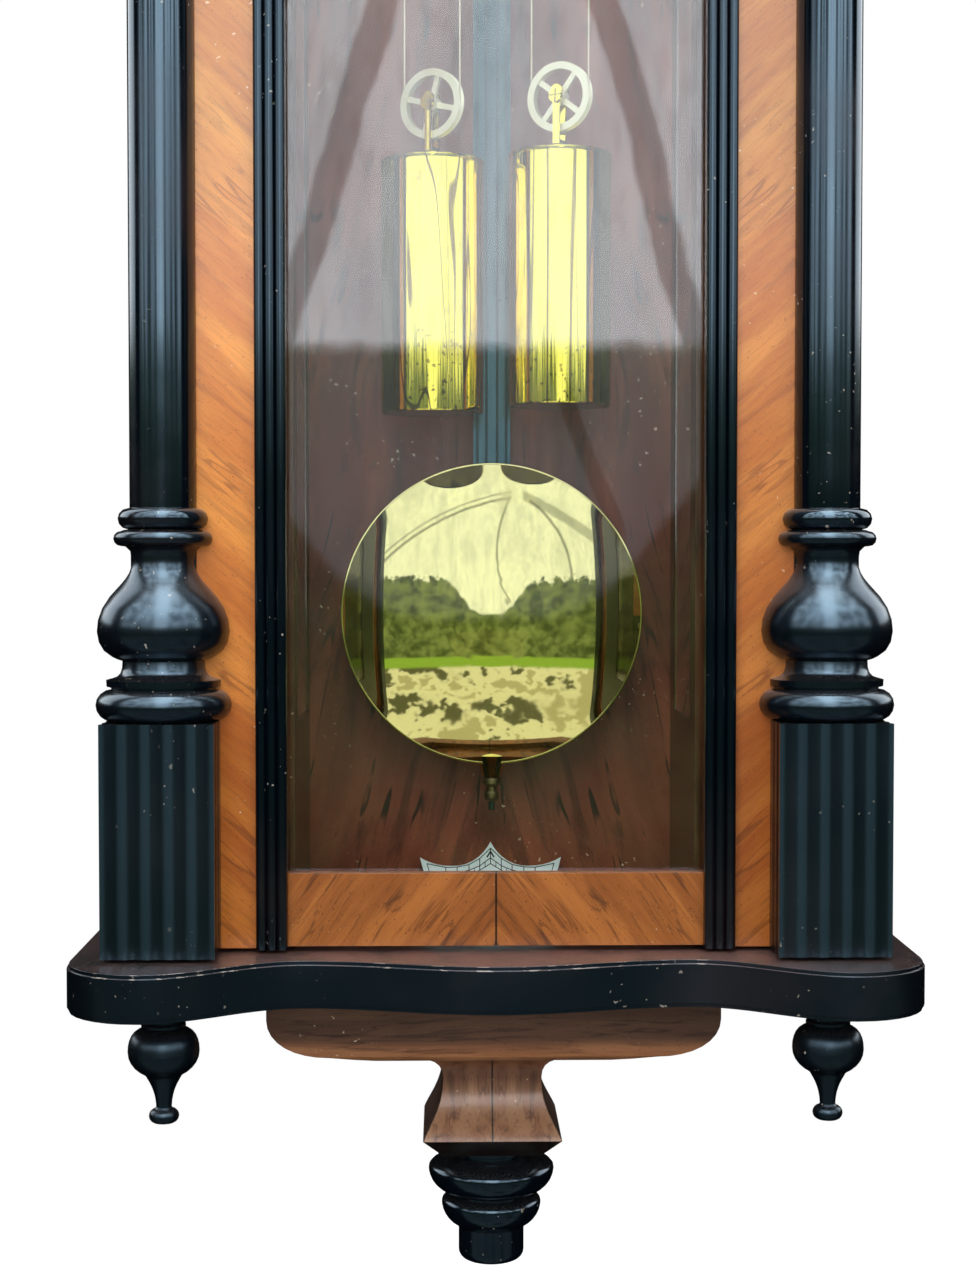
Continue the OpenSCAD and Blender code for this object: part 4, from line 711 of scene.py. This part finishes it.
shell, shell_dull = (0.98, 0.84, 0.13), (0.50, 0.32, 0.06)
dented_brass = brass("dented_brass", shell, shell_dull, dents=0.22, rough=0.05,
                     hairlines=(0.09, 1.0), shaded_underside=True)
dress("weight_left", dented_brass, 0)
straight_brass = brass("straight_brass", shell, shell_dull, dents=0.06, rough=0.05,
                       hairlines=(0.02, 0.9), shaded_underside=True)
dress("weight_right", straight_brass, 0)
wheel_brass = brass("wheel_brass", colour=(0.80, 0.77, 0.58), rough=0.35, bare=0.55)
for name in ("pulley_left", "pulley_right"):
    dress(name, wheel_brass, 0)


# Weight lines: twisted gut, wound on the drums and fixed to the front plate. Each is one
# piece that stretches between line_end, under the plate, and its pulley's axle.
def cloudy_finish(name, one, other, scale, detail, rough, metal=0.0, stretch=(1, 1, 1)):
    """A finish in soft patches of two near colours."""
    finish, tree, body = new_finish(name)
    patches = clouds(tree, on_piece(tree), scale, detail, stretch)
    tree.links.new(blend_colours(tree, "MIX", patches, one, other), body.inputs["Base Color"])
    body.inputs["Metallic"].default_value = metal
    body.inputs["Roughness"].default_value = rough
    return finish


gut = cloudy_finish("gut", tint(222, 214, 190), tint(150, 134, 104), 1200.0, 2.0, 0.5,
                    stretch=(1, 1, 0.6))
for side in ("left", "right"):
    dress("line_" + side, gut, 0, 60)
    line_bm = bmesh.new()
    line_bm.from_mesh(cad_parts["line_" + side].data)
    bmesh.ops.remove_doubles(line_bm, verts=line_bm.verts, dist=0.00002)
    bmesh.ops.recalc_face_normals(line_bm, faces=line_bm.faces)
    line_mesh = bpy.data.meshes.new("gut_line_" + side)
    line_bm.to_mesh(line_mesh)
    line_bm.free()
    line_mesh.materials.clear()
    line_mesh.materials.append(gut)
    line = bpy.data.objects.new("gut_line_" + side, line_mesh)
    bpy.context.collection.objects.link(line)
    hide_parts("line_" + side)
    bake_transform(line)


# Pendulum: black beaded rod on a steel spring, brass bob with a rolled edge, and a small dark
# rating nut on the screwed end. Anchor and hammer are of the same steel as the spring.
bob_brass = brass("bob_brass", rough=0.03, stretch=(0.3, 1, 0.3), tarnish=0.2)
dress("bob", bob_brass, 0, 11)
rod_black = ebony("rod_black", rough=0.16, worn=0.05, gloss=1.0, black=(20, 30, 31),
                  density=1.6, blue=(0.35, 0.82, 1.0))
dress("pendulum_rod", rod_black, 0)
steel = cloudy_finish("steel", (0.42, 0.42, 0.43, 1), (0.6, 0.6, 0.6, 1), 120.0, 4.0, 0.25,
                      metal=1.0)
for name in ("suspension_spring", "anchor", "hammer"):
    dress(name, steel, 0)
nut_brass = brass("nut_brass", colour=(0.30, 0.24, 0.13), rough=0.3)
dress("rating_nut", nut_brass, 0)


# Beat scale: a silvered plate on the backboard, cut with a border of three lines, marks across
# it every three millimetres and an arrow in the middle, all filled with black wax.
silvered = cloudy_finish("silvered", tint(212, 236, 232), tint(238, 250, 248), 60.0, 5.0, 0.3)
dress("beat_scale", silvered, 0.0003)
black_wax = cloudy_finish("black_wax", tint(18, 20, 24), tint(44, 46, 48), 400.0, 3.0, 0.4)


def cut_line(bm, points, width, front):
    """A filled line along the points, (x, height) in mm. It lies on the plate's front face,
    at that depth in mm, and stands a hair proud of it."""
    proud = 0.08
    for (x0, h0), (x1, h1) in zip(points, points[1:]):
        along = Vector((x1 - x0, h1 - h0)).normalized()
        out = Vector((-along.y, along.x)) * width / 2
        corners = [Vector((x0, h0)) - along * width / 3 + out,
                   Vector((x1, h1)) + along * width / 3 + out,
                   Vector((x1, h1)) + along * width / 3 - out,
                   Vector((x0, h0)) - along * width / 3 - out]
        verts = [bm.verts.new((c.x, front, c.y)) for c in corners]
        sheet = bmesh.ops.extrude_face_region(bm, geom=[bm.faces.new(verts)])
        raised = [v for v in sheet["geom"] if isinstance(v, bmesh.types.BMVert)]
        bmesh.ops.translate(bm, verts=raised, vec=(0, -proud, 0))


def fit_piece(name, bm, material, body):
    """Takes a piece drawn in mm from the shelf's top to its place, riding on a CAD body."""
    bmesh.ops.transform(bm, matrix=Matrix.Translation((0, 0, shelf_top))
                        @ Matrix.Scale(0.001, 4), verts=bm.verts)
    bmesh.ops.recalc_face_normals(bm, faces=bm.faces)
    mesh = bpy.data.meshes.new(name)
    bm.to_mesh(mesh)
    bm.free()
    mesh.materials.append(material)
    piece = bpy.data.objects.new(name, mesh)
    bpy.context.collection.objects.link(piece)
    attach(piece, body)


scale_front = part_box("beat_scale")[0].y * 1000
long_marks = (0, 6.2, 12.4, 19.2, 25.7)
short_marks = (3.1, 9.3, 16, 22.5, 29)
border = [[(0, 35.5), (6.2, 29.5), (12.4, 26), (19.2, 24.6), (25.7, 24.4), (36.5, 26.6)],
          [(0, 29.9), (6.2, 25.3), (12.4, 22.8), (19.2, 21.2), (25.7, 21), (35.3, 22.2)],
          [(0, 26.6), (6.2, 22.7), (9.2, 21.2), (12.4, 20.4), (34.6, 21.2)]]


def height_on(line, x):
    """The height of a border line at x, from the points on either side."""
    for (x0, h0), (x1, h1) in zip(line, line[1:]):
        if x0 <= x <= x1:
            return h0 + (h1 - h0) * (x - x0) / (x1 - x0)
    return line[-1][1]


marks = bmesh.new()
for side in (-1, 1):
    for line in border:
        cut_line(marks, [(side * x, h) for x, h in line], 0.5, scale_front)
    for x in long_marks:
        if side > 0 or x:
            cut_line(marks, [(side * x, height_on(border[0], x)),
                             (side * x, height_on(border[2], x))], 0.5, scale_front)
    for x in short_marks:
        cut_line(marks, [(side * x, height_on(border[1], x)),
                         (side * x, height_on(border[2], x))], 0.4, scale_front)
    cut_line(marks, [(side * 36.5, 26.6), (side * 35.3, 22.2), (side * 34.6, 21.2)], 0.5,
             scale_front)
    cut_line(marks, [(0, 33.6), (side * 1.9, 30.5)], 0.9, scale_front)
fit_piece("beat_scale_marks", marks, black_wax, "case")


# Movement and fittings: brass plates, wheels, hinges and hook, iron bracket and hanger, blued
# spring-steel gong and hands.
plate_brass = brass("plate_brass", colour=(0.80, 0.66, 0.32), rough=0.22, tarnish=0.2)
for name in ("back_plate", "front_plate", "dial_bezel", "escape_wheel", "third_wheel",
             "centre_wheel", "time_great_wheel", "time_drum", "minute_wheel", "strike_drum",
             "strike_great_wheel", "strike_pin_wheel", "strike_fly", "case_brasses",
             "door_brasses", "latch_hook"):
    dress(name, plate_brass, 0)
iron = cloudy_finish("iron", tint(34, 34, 36), tint(58, 56, 54), 500.0, 3.0, 0.55, metal=0.6)
for name in ("movement_bracket", "gong_stand", "hanger_plate"):
    dress(name, iron, 0)
blued = cloudy_finish("blued", (0.02, 0.03, 0.09, 1), (0.05, 0.04, 0.07, 1), 40.0, 2.0, 0.22,
                      metal=1.0)
for name in ("gong", "hour_hand", "minute_hand"):
    dress(name, blued, 0, 60)


# Screws: slotted round heads, of brass on the hinges' leaves and of steel on the front plate
# and the bracket's foot.
def screw_head(bm, at, facing, radius, rise, slot_turn):
    """A round head with a slot, at a point in mm, with its top facing that way."""
    new = []
    for half in (-1, 0, 1):
        disc = bmesh.ops.create_circle(bm, cap_ends=True, segments=20, radius=radius)["verts"]
        face = disc[0].link_faces[0]
        if half:
            geom = disc + [face] + list(face.edges)
            cut = bmesh.ops.bisect_plane(bm, geom=geom, plane_co=(0, half * radius * 0.14, 0),
                                         plane_no=(0, half, 0), clear_inner=True)
            face = next(g for g in cut["geom"] if isinstance(g, bmesh.types.BMFace))
        sides = bmesh.ops.extrude_face_region(bm, geom=[face])["geom"]
        raised = [g for g in sides if isinstance(g, bmesh.types.BMVert)]
        bmesh.ops.translate(bm, verts=raised, vec=(0, 0, rise if half else rise * 0.45))
        if half:
            bmesh.ops.scale(bm, verts=raised, vec=(0.86, 0.86, 1))
        new += list(face.verts) + raised
    turn = Vector(facing).to_track_quat("Z", "Y").to_matrix().to_4x4()
    place = Matrix.Translation(at) @ turn @ Matrix.Rotation(math.radians(slot_turn), 4, "Z")
    bmesh.ops.transform(bm, matrix=place, verts=list(set(new)))


hinge_leaf, bracket_foot_t, plate_t = 1.5, 4, 2
case_leaf_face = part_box("case_side_right")[1].x * 1000 + hinge_leaf
door_leaf_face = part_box("door_stiles")[1].y * 1000 + hinge_leaf
case_screws_y, door_screws_x = -116, 139
case_screws = bmesh.new()
door_screws = bmesh.new()
for hinge, h in enumerate((140, 740)):
    for k in (-18, 0, 18):
        screw_head(case_screws, (case_leaf_face, case_screws_y, h + k), (1, 0, 0), 2.6, 0.6,
                   25 * k + 40 * hinge)
        screw_head(door_screws, (door_screws_x, door_leaf_face, h + k), (0, 1, 0), 2.6, 0.6,
                   31 * k + 70 * hinge)
fit_piece("hinge_screws_case", case_screws, wheel_brass, "case")
fit_piece("hinge_screws_door", door_screws, wheel_brass, "door")

plate_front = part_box("front_plate")[1].y * 1000 - plate_t
bracket_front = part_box("movement_bracket")[1].y * 1000 - bracket_foot_t
pillars = ((-63, 676), (63, 676), (-63, 757), (63, 757), (-24, 816), (24, 816))
feet = ((-48, 668), (48, 668), (0, 688))
plate_screws = bmesh.new()
for n, (x, h) in enumerate(pillars):
    screw_head(plate_screws, (x, plate_front, h), (0, -1, 0), 3.2, 1.6, 37 * n)
for n, (x, h) in enumerate(feet):
    screw_head(plate_screws, (x, bracket_front, h), (0, -1, 0), 4.2, 1.8, 20 + 55 * n)
fit_piece("movement_screws", plate_screws, steel, "case")


# Dial: white fired enamel with painted black numerals and a minute ring, and turned brass
# collets in the winding holes.
enamel = cloudy_finish("enamel", tint(238, 236, 226), tint(248, 246, 240), 30.0, 3.0, 0.08)
dress("dial", enamel, 0.0004)
dial_low, dial_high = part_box("dial")
dial_front = dial_low.y * 1000
dial_middle = ((dial_low.z + dial_high.z) / 2 - shelf_top) * 1000
numeral_ring, serif_at = 61, 7.3
minute_ring = (73.0, 77.5)
thick, thin, fine = 2.4, 0.7, 0.35
# the letters' widths, and each stroke's two ends and width
strokes = {"I": (3.6, [((0, -7), (0, 7), thick)]),
           "V": (8.2, [((-3.0, 7), (0.4, -7), thick), ((3.4, 7), (0.4, -7), thin)]),
           "X": (8.6, [((-3.0, 7), (3.0, -7), thick), ((3.2, 7), (-3.2, -7), thin)])}
paint = bmesh.new()
for hour, letters in enumerate(("XII", "I", "II", "III", "IIII", "V", "VI", "VII", "VIII",
                                "IX", "X", "XI")):
    width = sum(strokes[c][0] for c in letters)
    x = -width / 2
    ring_place = (Matrix.Translation((0, 0, dial_middle))
                  @ Matrix.Rotation(math.radians(30 * hour), 4, "Y")
                  @ Matrix.Translation((0, 0, numeral_ring)))
    numeral = bmesh.new()
    for c in letters:
        wide, lines = strokes[c]
        for a, b, w in lines:
            cut_line(numeral, [(x + wide / 2 + a[0], a[1]), (x + wide / 2 + b[0], b[1])], w,
                     dial_front)
        x += wide
    for z in (-serif_at, serif_at):
        cut_line(numeral, [(-width / 2 + 0.6, z), (width / 2 - 0.6, z)], 0.5, dial_front)
    bmesh.ops.transform(numeral, matrix=ring_place, verts=numeral.verts)
    drawn = bpy.data.meshes.new("numeral")
    numeral.to_mesh(drawn)
    numeral.free()
    paint.from_mesh(drawn)
    bpy.data.meshes.remove(drawn)
for r in minute_ring:
    circle = [(r * math.sin(math.radians(a)), dial_middle + r * math.cos(math.radians(a)))
              for a in range(0, 361, 3)]
    cut_line(paint, circle, fine, dial_front)
for minute in range(60):
    s, c = math.sin(math.radians(6 * minute)), math.cos(math.radians(6 * minute))
    cut_line(paint, [(r * s, dial_middle + r * c) for r in minute_ring],
             1.3 if minute % 5 == 0 else fine, dial_front)
fit_piece("dial_painting", paint, black_wax, "case")


def turned_ring(bm, profile, x, h):
    """Spins a profile of (radius, depth) in mm about the dial's axis at x and height h."""
    verts = [bm.verts.new((x + r, y, h)) for r, y in profile]
    loop = [bm.edges.new((a, b)) for a, b in zip(verts, verts[1:] + verts[:1])]
    bmesh.ops.spin(bm, geom=verts + loop, cent=(x, 0, h), axis=(0, 1, 0),
                   angle=2 * math.pi, steps=40, use_merge=True)


winding_x, winding_reach = 34, 38
winding_h = dial_middle - math.sqrt(winding_reach ** 2 - winding_x ** 2)
collet = [(r, dial_front - rise)
          for r, rise in ((5.0, 0), (5.0, 0.9), (5.6, 1.2), (6.6, 0.6), (6.8, 0))]
collets = bmesh.new()
for x in (-winding_x, winding_x):
    turned_ring(collets, collet, x, winding_h)
fit_piece("winding_collets", collets, wheel_brass, "case")

# Sizes of the CAD and of the dressed clock
low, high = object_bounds()
